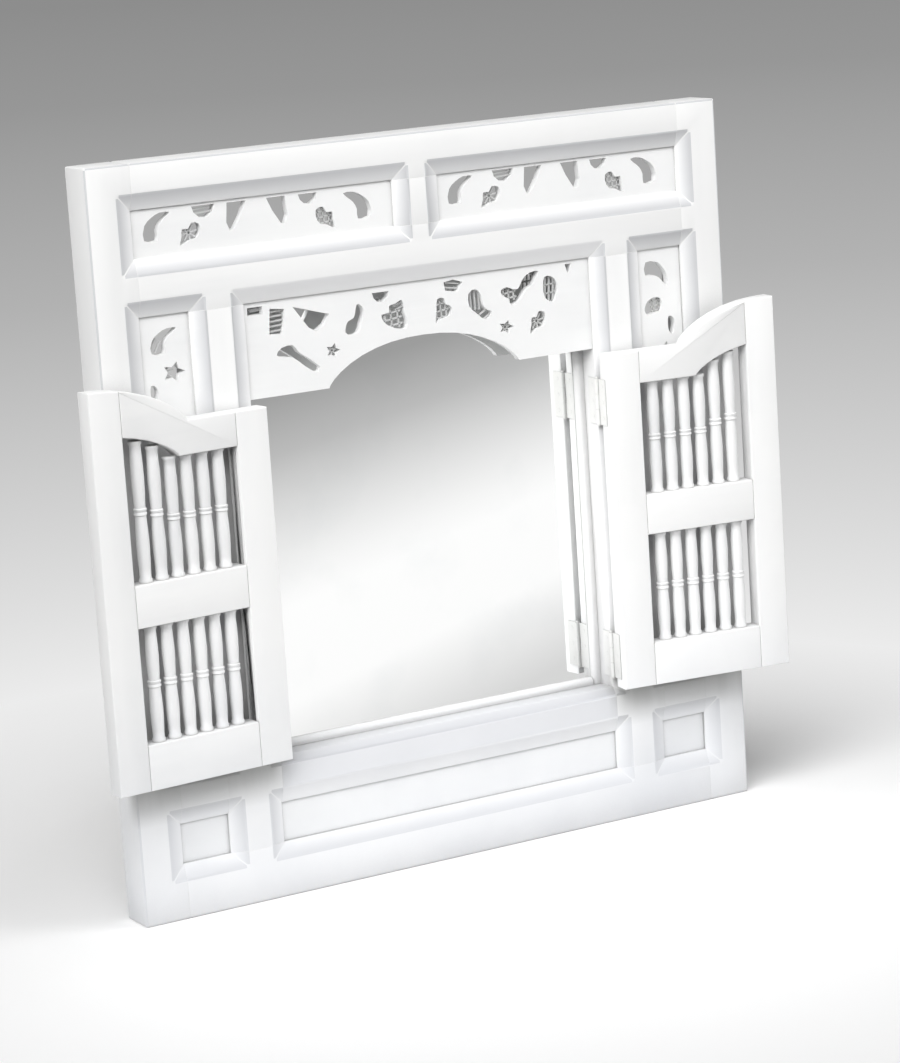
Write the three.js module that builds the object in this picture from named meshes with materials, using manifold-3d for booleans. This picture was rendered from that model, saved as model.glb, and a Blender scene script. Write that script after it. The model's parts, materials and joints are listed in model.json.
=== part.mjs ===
// Overmantel mirror: a white painted frame-and-panel mirror with a pierced, arched apron and two
// hinged shutters filled with turned spindles, standing folded open in front of the side panels.
// Millimetres, +Z up, the front looks towards -Y, the origin is the middle of the underside.

import * as THREE from 'three';
import { mergeVertices } from 'three/addons/utils/BufferGeometryUtils.js';
import Module from 'manifold-3d';

const wasm = await Module();
wasm.setup();

// ---- driving dimensions ---------------------------------------------------------------------

// Whole frame
const frameWidth = 900;
const frameHeight = 935;
const frameDepth = 54;

// Flat faces of the frame members, as seen between their splayed edges
const outerStileFace = 40;
const topRailFace = 37;
const upperRailFace = 31;
const mullionFace = 25;
const innerStileFace = 35;
const sillFace = 30;
const bottomRailFace = 49;

// Heights and widths of the panel openings, measured between those flat faces
const topPanelOpening = 98;
const bottomPanelOpening = 91;
const sidePanelOpening = 106;

// Splayed edge round every opening
const splayWidth = 20;
const sillSplayWidth = 10;
const splayDepth = 8;

// Panels in their grooves
const panelReveal = 3;
const panelThickness = 10;
const tongueDepth = 6;

// Joinery
const fitGap = 0.3;
const tenonThickness = 14;
const tenonLength = 24;
const tenonShoulder = 13;

// Arch of the apron, shared with the tops of the shutters
const apronShoulderHeight = 119;
const motifCurveSteps = 2;
const archRise = 50;
const archHalfSpan = 138;
const archFlankPower = 2.2;
const archCrownPower = 0.75;
const archSteps = 9;

// Mirror, its bead and its back
const beadWidth = 12;
const beadFootWidth = 10;
const beadDepth = 7;
const beadCurveSteps = 5;
const beadSetBack = 36;
const glassThickness = 4;
const boardThickness = 4;
const glassPlay = 0.6;
const clipWidth = 26;
const clipReach = 12;
const clipThickness = 1.5;
const clipInset = 110;

// Hanging plates
const hangerWidth = 24;
const hangerHeight = 62;
const hangerThickness = 2;
const hangerTopMargin = 60;
const keyholeRadius = 5;
const keySlotWidth = 5;
const keySlotHeight = 14;
const keyPocketDepth = 9;

// Hinges
const leafThickness = 1;
const leafLength = 60;
const leafWidth = 22;
const knuckleRadius = 3.4;
const middleKnuckleLength = 20;
const pinRadius = 1.5;
const pinHeadRadius = 2.4;
const pinSetForward = 6;
const lowerHingeInset = 42;
const upperHingeInset = 64;
const barrelSides = 16;
const pinSides = 12;

// Shutters
const shutterThickness = 26;
const shutterFootGap = 3;
const shutterHeadGap = 4;
const meetingGap = 5;
const hingeStileWidth = 45;
const freeStileWidth = 42;
const shutterBottomRailHeight = 57;
const shutterMidRailHeight = 53;
const shutterTopRailHeight = 42;
const lowerWindowHeight = 144;
const windowArchRise = 36;
const windowArchHalfSpan = 120;
const shutterTenonThickness = 9;
const shutterTenonLength = 18;
const shutterTenonShoulder = 12;

// Turned spindles in the shutter windows
const spindlesPerWindow = 6;
const spindleRadius = 8.4;
const spindleNeckRadius = 5.4;
const spindleRingHeight = 5;
const spindleNeckHeight = 8;
const spindleLowerSwell = 0.24;
const spindleUpperSwell = 0.7;
const spindleSides = 8;
const spindleSeat = 3;

// How far each shutter stands open from closed, in degrees
const leftShutterOpen = 176;
const rightShutterOpen = 173;

// How far a cutter runs past the faces it cuts, and how close two corners are to be one
const cutPast = 1;
const weldDistance = 1e-4;

// ---- places worked out from the dimensions ---------------------------------------------------

const frontY = -frameDepth / 2;
const backY = frameDepth / 2;
const panelFrontY = frontY + splayDepth + panelReveal;
const panelBackY = panelFrontY + panelThickness;
const leftEdge = -frameWidth / 2;

const bottomPanelTop = bottomRailFace + bottomPanelOpening;
const sillTop = bottomPanelTop + sillFace;
const upperRailTop = frameHeight - topRailFace - topPanelOpening;
const upperRailBottom = upperRailTop - upperRailFace;
const outerStileInner = leftEdge + outerStileFace;
const innerStileOuter = outerStileInner + sidePanelOpening;
const innerStileInner = innerStileOuter + innerStileFace;

// An opening is its face-side rectangle with the splay width on each of its four sides.
function opening(x, z, bottomSplay = splayWidth) {
  const splay = { left: splayWidth, right: splayWidth, top: splayWidth, bottom: bottomSplay };
  return { x, z, splay };
}

const topRow = [upperRailTop, frameHeight - topRailFace];
const middleRow = [sillTop, upperRailBottom];
const bottomRow = [bottomRailFace, bottomPanelTop];

const openings = {
  top_left: opening([outerStileInner, -mullionFace / 2], topRow),
  top_right: opening([mullionFace / 2, -outerStileInner], topRow),
  side_left: opening([outerStileInner, innerStileOuter], middleRow),
  side_right: opening([-innerStileOuter, -outerStileInner], middleRow),
  middle: opening([innerStileInner, -innerStileInner], middleRow, sillSplayWidth),
  bottom_left: opening([outerStileInner, innerStileOuter], bottomRow),
  bottom_centre: opening([innerStileInner, -innerStileInner], bottomRow),
  bottom_right: opening([-innerStileOuter, -outerStileInner], bottomRow),
};

// The rectangle left at the foot of an opening's splay: the size of the hole through the frame.
function innerRect({ x, z, splay }) {
  return { x: [x[0] + splay.left, x[1] - splay.right], z: [z[0] + splay.bottom, z[1] - splay.top] };
}

const middle = innerRect(openings.middle);
const jambX = middle.x[0];
const archSpring = middle.z[1] - apronShoulderHeight;

// Hinge pins stand just inside the jambs, forward of the closed shutter's face.
const pinToWood = fitGap + leafThickness + fitGap;
const pinX = jambX + pinToWood;
const shutterFrontY = frontY + splayDepth;
const pinY = shutterFrontY - pinSetForward;

// ---- solids ----------------------------------------------------------------------------------

function toSolid(geometry) {
  const bare = new THREE.BufferGeometry();
  const corners = geometry.index ? geometry.toNonIndexed() : geometry;
  bare.setAttribute('position', corners.getAttribute('position').clone());
  const merged = mergeVertices(bare, weldDistance);
  return new wasm.Manifold(new wasm.Mesh({
    numProp: 3,
    vertProperties: new Float32Array(merged.getAttribute('position').array),
    triVerts: new Uint32Array(merged.index.array),
  }));
}

function toGeometry(solid) {
  const { vertProperties, triVerts } = solid.getMesh();
  const geometry = new THREE.BufferGeometry();
  geometry.setAttribute('position', new THREE.BufferAttribute(vertProperties, 3));
  geometry.setIndex(new THREE.BufferAttribute(triVerts, 1));
  geometry.computeVertexNormals();
  return geometry;
}

function block({ x, y, z }) {
  const geometry = new THREE.BoxGeometry(x[1] - x[0], y[1] - y[0], z[1] - z[0]);
  geometry.translate((x[0] + x[1]) / 2, (y[0] + y[1]) / 2, (z[0] + z[1]) / 2);
  return toSolid(geometry);
}

function grown({ x, y, z }, by) {
  return { x: [x[0] - by, x[1] + by], y: [y[0] - by, y[1] + by], z: [z[0] - by, z[1] + by] };
}

function mirroredBox({ x, y, z }) {
  return { x: [-x[1], -x[0]], y, z };
}

// A board seen from the front: its outline in X and Z, cut from y[0] to y[1].
function board(outline, y) {
  const geometry = new THREE.ExtrudeGeometry(outline, { depth: y[1] - y[0], bevelEnabled: false });
  geometry.rotateX(Math.PI / 2);
  geometry.translate(0, y[1], 0);
  return toSolid(geometry);
}

function rectOutline(x, z) {
  const corners = [[x[0], z[0]], [x[1], z[0]], [x[1], z[1]], [x[0], z[1]]];
  return new THREE.Shape(corners.map(([px, pz]) => new THREE.Vector2(px, pz)));
}

// An upright round piece: [radius, height] pairs turned about a vertical axis.
function turned(profile, sides) {
  const geometry = new THREE.LatheGeometry(profile.map(([r, h]) => new THREE.Vector2(r, h)), sides);
  geometry.rotateX(Math.PI / 2);
  return toSolid(geometry);
}

function mirroredSolid(solid) {
  return solid.mirror([1, 0, 0]);
}

// The cutter that splays an opening's edges: wide at the face, narrowing to the inner rectangle.
function splayCutter({ x, z, splay }) {
  const shareInFront = -cutPast / splayDepth;
  const geometry = new THREE.BoxGeometry(2, 2, 2);
  const position = geometry.getAttribute('position');
  for (let i = 0; i < position.count; i += 1) {
    const share = position.getY(i) > 0 ? 1 : shareInFront;
    const atX = position.getX(i) < 0 ? x[0] + splay.left * share : x[1] - splay.right * share;
    const atZ = position.getZ(i) < 0 ? z[0] + splay.bottom * share : z[1] - splay.top * share;
    position.setXYZ(i, atX, frontY + splayDepth * share, atZ);
  }
  return toSolid(geometry);
}

function panelBox(rect) {
  return { x: rect.x, y: [panelFrontY, panelBackY], z: rect.z };
}

// A panel's outline reaches into the grooves round its opening.
function tonguedRect({ x, z }) {
  return { x: [x[0] - tongueDepth, x[1] + tongueDepth], z: [z[0] - tongueDepth, z[1] + tongueDepth] };
}

// ---- the arch shared by the apron and the shutters --------------------------------------------

// Height of an arch curve at x: level beyond its half span, rising to the middle.
function archHeight(x, spring, rise, halfSpan) {
  const t = Math.min(Math.abs(x) / halfSpan, 1);
  return spring + rise * (1 - t ** archFlankPower) ** archCrownPower;
}

// Points along the curve from x = from to x = to, closer together where it starts to rise.
function archPoints(from, to, spring, rise, halfSpan) {
  const stops = [from, to];
  for (let i = 0; i <= archSteps; i += 1) {
    const x = halfSpan * Math.sin((Math.PI / 2) * (i / archSteps));
    stops.push(x, -x);
  }
  const low = Math.min(from, to);
  const high = Math.max(from, to);
  const inside = [...new Set(stops)].filter((x) => x >= low && x <= high);
  inside.sort((a, b) => (from < to ? a - b : b - a));
  return inside.map((x) => new THREE.Vector2(x, archHeight(x, spring, rise, halfSpan)));
}

// ---- pierced carving --------------------------------------------------------------------------

// Outlines of the pierced shapes, each inside a square of side 1 about its middle. Soft ones are
// smooth closed curves through their points, plain ones have straight sides.
const softMotifs = {
  claw: [
    [0.5, 0.48], [0.13, 0.5], [-0.19, 0.34], [-0.45, 0.08], [-0.5, -0.46],
    [0, -0.5], [0.02, -0.14], [0.14, 0.12], [0.36, 0.32],
  ],
  sprig: [
    [-0.5, -0.5], [-0.4, -0.1], [-0.36, 0.24], [-0.06, 0.24], [0.1, 0.5],
    [0.46, 0.42], [0.5, 0.1], [0.3, -0.24], [-0.04, -0.3],
  ],
  bean: [
    [0.17, 0.49], [0.41, 0.4], [0.49, 0.16], [0.32, -0.15], [0.17, -0.43], [-0.21, -0.5],
    [-0.5, -0.39], [-0.43, -0.15], [-0.32, -0.03], [-0.05, 0.05], [0.06, 0.23],
  ],
  vase: [
    [-0.48, 0.08], [-0.17, 0.12], [-0.16, 0.34], [0.1, 0.4], [0.33, 0.5], [0.42, 0.25],
    [0.42, 0.04], [0.5, -0.2], [0.46, -0.48], [0.2, -0.48], [-0.21, -0.33], [-0.42, -0.14],
  ],
  shell: [
    [-0.34, 0.48], [0.06, 0.48], [0.14, 0.22], [0.4, 0.15], [0.5, -0.05],
    [0.35, -0.25], [0.04, -0.33], [-0.28, -0.37], [-0.5, -0.49], [-0.42, 0],
  ],
  comma: [
    [-0.46, 0.38], [-0.15, 0.5], [0.07, 0.3], [0.12, 0], [0.3, -0.2], [0.5, -0.27],
    [0.43, -0.43], [0.18, -0.5], [-0.15, -0.28], [-0.45, -0.03],
  ],
  scroll: [
    [-0.5, 0.02], [-0.34, 0.1], [-0.18, 0], [-0.06, 0], [0.05, 0.24], [0.18, 0.42],
    [0.36, 0.5], [0.5, 0.48], [0.42, 0.28], [0.33, 0.05], [0.18, -0.03], [0.07, -0.21],
    [-0.06, -0.42], [-0.25, -0.5], [-0.32, -0.28], [-0.46, -0.16],
  ],
  seed: [
    [-0.37, 0.48], [0.12, 0.46], [0.42, 0.26], [0.5, 0.02], [0.37, -0.26],
    [0.17, -0.5], [-0.1, -0.45], [-0.42, -0.28], [-0.5, 0.12],
  ],
  bud: [
    [-0.46, 0.02], [-0.31, 0.32], [0.03, 0.5], [0.42, 0.42], [0.5, -0.03],
    [0.37, -0.36], [0.03, -0.4], [-0.34, -0.5], [-0.5, -0.2],
  ],
  spoon: [
    [-0.5, 0.24], [-0.38, 0.46], [-0.11, 0.5], [0.02, 0.24], [0.5, -0.32],
    [0.43, -0.5], [0.12, -0.21], [-0.13, 0.1], [-0.36, 0.16],
  ],
  flower: starPoints(5, 0.26),
};

const plainMotifs = {
  slot: [[-0.5, -0.5], [0.5, -0.5], [0.5, 0.5], [-0.5, 0.5]],
  tongue: [[-0.38, 0.5], [0.5, 0.42], [0.44, 0], [0.28, -0.5], [-0.5, -0.46]],
  kite: [[-0.5, 0.5], [0.5, 0.06], [0.34, -0.3], [0.1, -0.5], [-0.1, -0.32]],
  tusk: [[-0.42, 0.5], [0.5, 0.5], [0.25, 0.04], [-0.14, -0.46], [-0.36, -0.5], [-0.5, -0.2]],
  band: [[-0.5, 0.36], [0, 0.5], [0.5, 0.2], [0.18, -0.5], [-0.42, -0.32]],
  cup: [[-0.5, 0.5], [-0.42, -0.02], [-0.2, -0.42], [0.14, -0.5], [0.42, -0.08], [0.5, 0.5]],
  wedge: [[-0.5, 0.5], [-0.22, -0.3], [0, -0.5], [0.2, -0.3], [0.5, 0.5]],
};

// A star's points and hollows by turns, with hollows of a radius smaller than the points' 0.5.
function starPoints(count, hollow) {
  const points = [];
  for (let i = 0; i < count * 2; i += 1) {
    const angle = Math.PI * (i / count);
    const radius = i % 2 === 0 ? 0.5 : hollow;
    points.push([radius * Math.cos(angle), radius * Math.sin(angle)]);
  }
  return points;
}

function motifOutline(name) {
  if (name in plainMotifs) return plainMotifs[name];
  const through = softMotifs[name].map(([px, pz]) => new THREE.Vector3(px, pz, 0));
  const curve = new THREE.CatmullRomCurve3(through, true);
  const outline = curve.getPoints(through.length * motifCurveSteps).slice(1);
  return outline.map((point) => [point.x, point.y]);
}

// The outline of a pierced shape, of a width and height, turned in degrees about its place. A
// width below zero turns the shape over.
function piercing(name, [x, z], [width, height], turn = 0) {
  const angle = THREE.MathUtils.degToRad(turn);
  const points = [];
  for (const [px, pz] of motifOutline(name)) {
    const point = new THREE.Vector2(x + px * width, z + pz * height);
    points.push(point.rotateAround(new THREE.Vector2(x, z), angle));
  }
  return new THREE.Shape(points);
}

// Cuts a layout of pierced shapes through a panel, each placed from the point (originX, originZ).
// A layout is drawn for one width of panel and stretches with it.
function pierced(panel, layout, stretch, originX, originZ) {
  const through = [panelFrontY - cutPast, panelBackY + cutPast];
  let solid = panel;
  for (const [motif, x, z, width, height, turn] of layout) {
    const place = [originX + x * stretch, originZ + z];
    const outline = piercing(motif, place, [width * stretch, height], turn);
    solid = solid.subtract(board(outline, through));
  }
  return solid;
}

// Top panels: places are measured from the middle of the panel.
const topCarvingWidth = 357.5;
const topPanelCarving = [
  ['claw', -144, 6, 36, 33],
  ['cup', -81, 18, 31, 15],
  ['sprig', -101, -7, 28, 26],
  ['tusk', -37, 8, 28, 34],
  ['tusk', 19, 8, -28, 34],
  ['cup', 62, 18, 26, 13],
  ['sprig', 85, -8, -27, 28],
  ['claw', 130, 3, -37, 34],
];

// Apron: places are measured from the middle of the frame and the spring of the arch.
const apronCarvingWidth = 498;
const apronCarving = [
  ['slot', -233, 108, 21, 10],
  ['tongue', -204, 92, 23, 33],
  ['kite', -156, 90, 50, 34],
  ['bean', -96, 81, 28, 38],
  ['cup', -57, 104, 24, 13],
  ['vase', -40, 79, 37, 37],
  ['spoon', -178, 41, 59, 38],
  ['flower', -129, 46, 21, 20],
  ['shell', 32, 77, 25, 31],
  ['band', 48, 106, 28, 16],
  ['comma', 85, 78, 34, 40],
  ['scroll', 146, 91, 58, 39],
  ['seed', 191, 85, 22, 34],
  ['wedge', 219, 108, 9, 12],
  ['flower', 122, 44, 23, 19],
  ['sprig', 169, 45, 24, 27],
];

// Side panels: places are measured from the upper left corner of the panel's field. The two
// panels aren't carved alike.
const sideCarvingWidth = 66;
const leftSideCarving = [
  ['claw', 32, -32, 35, 30],
  ['flower', 42, -71, 31, 26],
  ['seed', 14, -94, 10, 20],
  ['bud', 36, -138, 30, 26],
];
const rightSideCarving = [
  ['claw', 29, -34, 34, 34, -90],
  ['bud', 22, -75, 27, 22],
  ['seed', 49, -103, 11, 24],
  ['flower', 36, -136, 30, 26],
];

// ---- frame -------------------------------------------------------------------------------------

const stileInnerX = outerStileInner + splayWidth;
const postX = [innerStileOuter - splayWidth, innerStileInner + splayWidth];
const mullionReach = mullionFace / 2 + splayWidth;
const betweenStiles = [stileInnerX, -stileInnerX];
const topRailZ = [frameHeight - topRailFace - splayWidth, frameHeight];
const upperRailZ = [upperRailBottom - splayWidth, upperRailTop + splayWidth];
const crossRailZ = [bottomPanelTop - splayWidth, sillTop + splayWidth];
const sillRailZ = [bottomPanelTop - splayWidth, sillTop + sillSplayWidth];
const bottomRailZ = [0, bottomRailFace + splayWidth];

function memberBox(x, z) {
  return { x, y: [frontY, backY], z };
}

const memberBoxes = {
  outer_stile_left: memberBox([leftEdge, stileInnerX], [0, frameHeight]),
  top_rail: memberBox(betweenStiles, topRailZ),
  upper_rail: memberBox(betweenStiles, upperRailZ),
  bottom_rail: memberBox(betweenStiles, bottomRailZ),
  mullion: memberBox([-mullionReach, mullionReach], [upperRailZ[1], topRailZ[0]]),
  inner_stile_left: memberBox(postX, [bottomRailZ[1], upperRailZ[0]]),
  sill_rail: memberBox([postX[1], -postX[1]], sillRailZ),
  cross_rail_left: memberBox([stileInnerX, postX[0]], crossRailZ),
};
memberBoxes.outer_stile_right = mirroredBox(memberBoxes.outer_stile_left);
memberBoxes.inner_stile_right = mirroredBox(memberBoxes.inner_stile_left);
memberBoxes.cross_rail_right = mirroredBox(memberBoxes.cross_rail_left);

const tenonY = [backY - tenonShoulder - tenonThickness, backY - tenonShoulder];

// Tenon at the left or right end of a rail, or at the top or bottom of an upright.
function tenonBox({ x, z }, end) {
  const acrossZ = [z[0] + tenonShoulder, z[1] - tenonShoulder];
  const acrossX = [x[0] + tenonShoulder, x[1] - tenonShoulder];
  const boxes = {
    left: { x: [x[0] - tenonLength, x[0]], z: acrossZ },
    right: { x: [x[1], x[1] + tenonLength], z: acrossZ },
    top: { x: acrossX, z: [z[1], z[1] + tenonLength] },
    bottom: { x: acrossX, z: [z[0] - tenonLength, z[0]] },
  };
  return { ...boxes[end], y: tenonY };
}

const frameJoints = [
  ['top_rail', 'left', 'outer_stile_left'],
  ['top_rail', 'right', 'outer_stile_right'],
  ['upper_rail', 'left', 'outer_stile_left'],
  ['upper_rail', 'right', 'outer_stile_right'],
  ['bottom_rail', 'left', 'outer_stile_left'],
  ['bottom_rail', 'right', 'outer_stile_right'],
  ['mullion', 'top', 'top_rail'],
  ['mullion', 'bottom', 'upper_rail'],
  ['inner_stile_left', 'top', 'upper_rail'],
  ['inner_stile_left', 'bottom', 'bottom_rail'],
  ['inner_stile_right', 'top', 'upper_rail'],
  ['inner_stile_right', 'bottom', 'bottom_rail'],
  ['sill_rail', 'left', 'inner_stile_left'],
  ['sill_rail', 'right', 'inner_stile_right'],
  ['cross_rail_left', 'left', 'outer_stile_left'],
  ['cross_rail_left', 'right', 'inner_stile_left'],
  ['cross_rail_right', 'right', 'outer_stile_right'],
  ['cross_rail_right', 'left', 'inner_stile_right'],
];

const frameCutters = [];
for (const [name, gap] of Object.entries(openings)) {
  frameCutters.push(splayCutter(gap));
  const rect = tonguedRect(innerRect(gap));
  const panelFoot = name === 'middle' ? archSpring : rect.z[0];
  const groove = panelBox({ x: rect.x, z: [panelFoot, rect.z[1]] });
  frameCutters.push(block(grown(groove, fitGap)));
}

// Clips that hold the mirror's back board lie in shallow recesses round the opening.
const clipY = [backY - clipThickness - fitGap, backY - fitGap];
const clipBoxes = [];

function spread(centre, reach) {
  return [centre - reach, centre + reach];
}

for (const z of [middle.z[0] + clipInset, middle.z[1] - clipInset]) {
  const left = { x: spread(jambX, clipReach), y: clipY, z: spread(z, clipWidth / 2) };
  clipBoxes.push(left, mirroredBox(left));
}
for (const z of middle.z) {
  clipBoxes.push({ x: spread(0, clipWidth / 2), y: clipY, z: spread(z, clipReach) });
}
for (const box of clipBoxes) {
  frameCutters.push(block(grown(box, fitGap)));
}

// Keyhole plates let into the backs of the outer stiles.
const hangerX = leftEdge + outerStileFace / 2 + splayWidth / 2;
const hangerZ = frameHeight - hangerTopMargin;
const hangerY = [backY - hangerThickness - fitGap, backY - fitGap];
const hangerBox = {
  x: spread(hangerX, hangerWidth / 2),
  y: hangerY,
  z: spread(hangerZ, hangerHeight / 2),
};
const pocketBox = {
  x: spread(hangerX, keyholeRadius),
  y: [hangerY[0] - keyPocketDepth, hangerY[1]],
  z: [hangerZ - keyholeRadius, hangerZ + keySlotHeight + keySlotWidth],
};
for (const box of [grown(hangerBox, fitGap), pocketBox]) {
  frameCutters.push(block(box), block(mirroredBox(box)));
}

function keyholeOutline() {
  const lip = keySlotWidth / 2;
  const start = Math.asin(lip / keyholeRadius);
  const path = new THREE.Path();
  path.absarc(0, 0, keyholeRadius, Math.PI / 2 + start, Math.PI * 2.5 - start, false);
  path.absarc(0, keySlotHeight, lip, 0, Math.PI, false);
  path.closePath();
  return path;
}

function hangingPlate(x) {
  const outline = rectOutline(spread(0, hangerWidth / 2), spread(0, hangerHeight / 2));
  outline.holes.push(keyholeOutline());
  return board(outline, hangerY).translate([x, 0, hangerZ]);
}

function frameMember(name) {
  let solid = block(memberBoxes[name]);
  for (const cutter of frameCutters) {
    solid = solid.subtract(cutter);
  }
  for (const [rail, end, post] of frameJoints) {
    const tenon = tenonBox(memberBoxes[rail], end);
    if (name === post) {
      solid = solid.subtract(block(grown(tenon, fitGap)));
    }
    if (name === rail) {
      solid = solid.add(block(tenon));
    }
  }
  return solid;
}

// ---- panels ------------------------------------------------------------------------------------

const panelY = [panelFrontY, panelBackY];

function plainPanel(name) {
  const rect = tonguedRect(innerRect(openings[name]));
  return board(rectOutline(rect.x, rect.z), panelY);
}

function topPanel(name) {
  const { x, z } = innerRect(openings[name]);
  const stretch = (x[1] - x[0]) / topCarvingWidth;
  const centre = [(x[0] + x[1]) / 2, (z[0] + z[1]) / 2];
  return pierced(plainPanel(name), topPanelCarving, stretch, ...centre);
}

function sidePanel(name, carving) {
  const { x, z } = innerRect(openings[name]);
  const stretch = (x[1] - x[0]) / sideCarvingWidth;
  return pierced(plainPanel(name), carving, stretch, x[0], z[1]);
}

function apron() {
  const field = tonguedRect(middle);
  const curve = archPoints(field.x[0], field.x[1], archSpring, archRise, archHalfSpan);
  const top = [new THREE.Vector2(field.x[1], field.z[1]), new THREE.Vector2(field.x[0], field.z[1])];
  const blank = board(new THREE.Shape([...curve, ...top]), panelY);
  const stretch = (middle.x[1] - middle.x[0]) / apronCarvingWidth;
  return pierced(blank, apronCarving, stretch, 0, archSpring);
}

// ---- mirror ------------------------------------------------------------------------------------

const beadY = [frontY + beadSetBack, frontY + beadSetBack + beadDepth];
const glassY = [beadY[1] + fitGap, beadY[1] + fitGap + glassThickness];
const boardY = [glassY[1] + fitGap, glassY[1] + fitGap + boardThickness];
const beadTop = middle.z[1] - fitGap;
const beadBottom = middle.z[0] + fitGap;

// Section of a bead lying along the left of the glass: square behind, rounded towards the front.
function beadSection(width) {
  const section = new THREE.Shape();
  section.moveTo(0, beadDepth);
  section.lineTo(0, 0);
  section.lineTo(width - beadDepth, 0);
  section.absarc(width - beadDepth, beadDepth, beadDepth, -Math.PI / 2, 0, false);
  section.closePath();
  return section;
}

function beadStrip(width, length) {
  const settings = { depth: length, bevelEnabled: false, curveSegments: beadCurveSteps };
  return toSolid(new THREE.ExtrudeGeometry(beadSection(width), settings));
}

function sideBead() {
  return beadStrip(beadWidth, beadTop - beadBottom).translate([jambX + fitGap, beadY[0], beadBottom]);
}

// The bottom bead runs between the side beads, turned to lie along X with its round edge up.
function footBead() {
  const startX = jambX + 2 * fitGap + beadWidth;
  const strip = beadStrip(beadFootWidth, -2 * startX).rotate([0, -90, 0]);
  return strip.translate([-startX, beadY[0], beadBottom]);
}

function headBead() {
  const startX = jambX + 2 * fitGap + beadWidth;
  const strip = beadStrip(beadWidth, -2 * startX).rotate([0, 90, 0]);
  return strip.translate([startX, beadY[0], beadTop]);
}

function mirrorSheet(y) {
  const x = [middle.x[0] + glassPlay, middle.x[1] - glassPlay];
  return block({ x, y, z: [middle.z[0] + glassPlay, middle.z[1] - glassPlay] });
}

// ---- hinges, about a pin at the origin of their own frame ---------------------------------------

const barrelZ = leafLength / 2;
const middleZ = middleKnuckleLength / 2;
const leafStartY = knuckleRadius + 2 * fitGap;
const leafPlateX = [fitGap, fitGap + leafThickness];

function cylinder(radius, z, sides) {
  return turned([[0, z[0]], [radius, z[0]], [radius, z[1]], [0, z[1]]], sides);
}

function knuckle(z) {
  const bore = cylinder(pinRadius + fitGap, [z[0] - cutPast, z[1] + cutPast], pinSides);
  return cylinder(knuckleRadius, z, barrelSides).subtract(bore);
}

// A leaf reaches from its knuckles to its plate by tabs as long as the knuckles are.
function hingeLeaf(knuckles) {
  let leaf = block({ x: leafPlateX, y: [leafStartY, leafWidth], z: [-barrelZ, barrelZ] });
  for (const z of knuckles) {
    leaf = leaf.add(knuckle(z));
    leaf = leaf.add(block({ x: leafPlateX, y: [pinRadius + 2 * fitGap, leafStartY + cutPast], z }));
  }
  return leaf;
}

function shutterLeaf() {
  return hingeLeaf([[-middleZ, middleZ]]);
}

function jambLeaf() {
  const ends = [[-barrelZ, -middleZ - fitGap], [middleZ + fitGap, barrelZ]];
  return mirroredSolid(hingeLeaf(ends));
}

// A plain pin with a domed head at each end, just clear of the knuckles.
function hingePin() {
  const head = barrelZ + fitGap;
  const upper = [[pinRadius, head]];
  for (const angle of [0, Math.PI / 6, Math.PI / 3]) {
    upper.push([pinHeadRadius * Math.cos(angle), head + pinHeadRadius * Math.sin(angle)]);
  }
  upper.push([0, head + pinHeadRadius]);
  const lower = upper.map(([radius, z]) => [radius, -z]).reverse();
  return turned([...lower, ...upper], pinSides);
}

// ---- shutters, closed, about the left hinge pin -------------------------------------------------

const shutterY = [pinSetForward, pinSetForward + shutterThickness];
const shutterBottom = middle.z[0] + shutterFootGap;
const shutterEdges = [pinToWood, -pinX - meetingGap / 2];
const windowX = [shutterEdges[0] + hingeStileWidth, shutterEdges[1] - freeStileWidth];
const shutterSpring = archSpring - shutterHeadGap;
const shutterHalfSpan = archHalfSpan - shutterHeadGap;
const windowSpring = shutterSpring - shutterTopRailHeight;
const lowerWindowBottom = shutterBottom + shutterBottomRailHeight;
const lowerWindowTop = lowerWindowBottom + lowerWindowHeight;
const upperWindowBottom = lowerWindowTop + shutterMidRailHeight;

// Both curves are worked out about the middle of the frame, then moved to the hinge pin.
function shutterTop(from, to) {
  const curve = archPoints(from + pinX, to + pinX, shutterSpring, archRise, shutterHalfSpan);
  return curve.map((point) => new THREE.Vector2(point.x - pinX, point.y));
}

function windowTop(from, to) {
  const curve = archPoints(
    from + pinX,
    to + pinX,
    windowSpring,
    windowArchRise,
    windowArchHalfSpan,
  );
  return curve.map((point) => new THREE.Vector2(point.x - pinX, point.y));
}

function shutterUpright(x) {
  const foot = [new THREE.Vector2(x[0], shutterBottom), new THREE.Vector2(x[1], shutterBottom)];
  return board(new THREE.Shape([...foot, ...shutterTop(x[1], x[0])]), shutterY);
}

const middleOfThickness = (shutterY[0] + shutterY[1]) / 2;
const shutterTenonY = spread(middleOfThickness, shutterTenonThickness / 2);

function windowHeadAt(x) {
  return archHeight(x + pinX, windowSpring, windowArchRise, windowArchHalfSpan);
}

function shutterHeadAt(x) {
  return archHeight(x + pinX, shutterSpring, archRise, shutterHalfSpan);
}

// Lower and upper edge of each rail where it meets the hinge stile and where it meets the free one.
const shutterRails = {
  bottom: {
    atHinge: [shutterBottom, lowerWindowBottom],
    atFree: [shutterBottom, lowerWindowBottom],
  },
  middle: {
    atHinge: [lowerWindowTop, upperWindowBottom],
    atFree: [lowerWindowTop, upperWindowBottom],
  },
  top: {
    atHinge: [windowSpring, shutterSpring],
    atFree: [windowHeadAt(windowX[1]), shutterHeadAt(windowX[1])],
  },
};

function shutterTenons({ atHinge, atFree }) {
  const between = (z) => [z[0] + shutterTenonShoulder, z[1] - shutterTenonShoulder];
  return [
    { x: [windowX[0] - shutterTenonLength, windowX[0]], y: shutterTenonY, z: between(atHinge) },
    { x: [windowX[1], windowX[1] + shutterTenonLength], y: shutterTenonY, z: between(atFree) },
  ];
}

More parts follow.
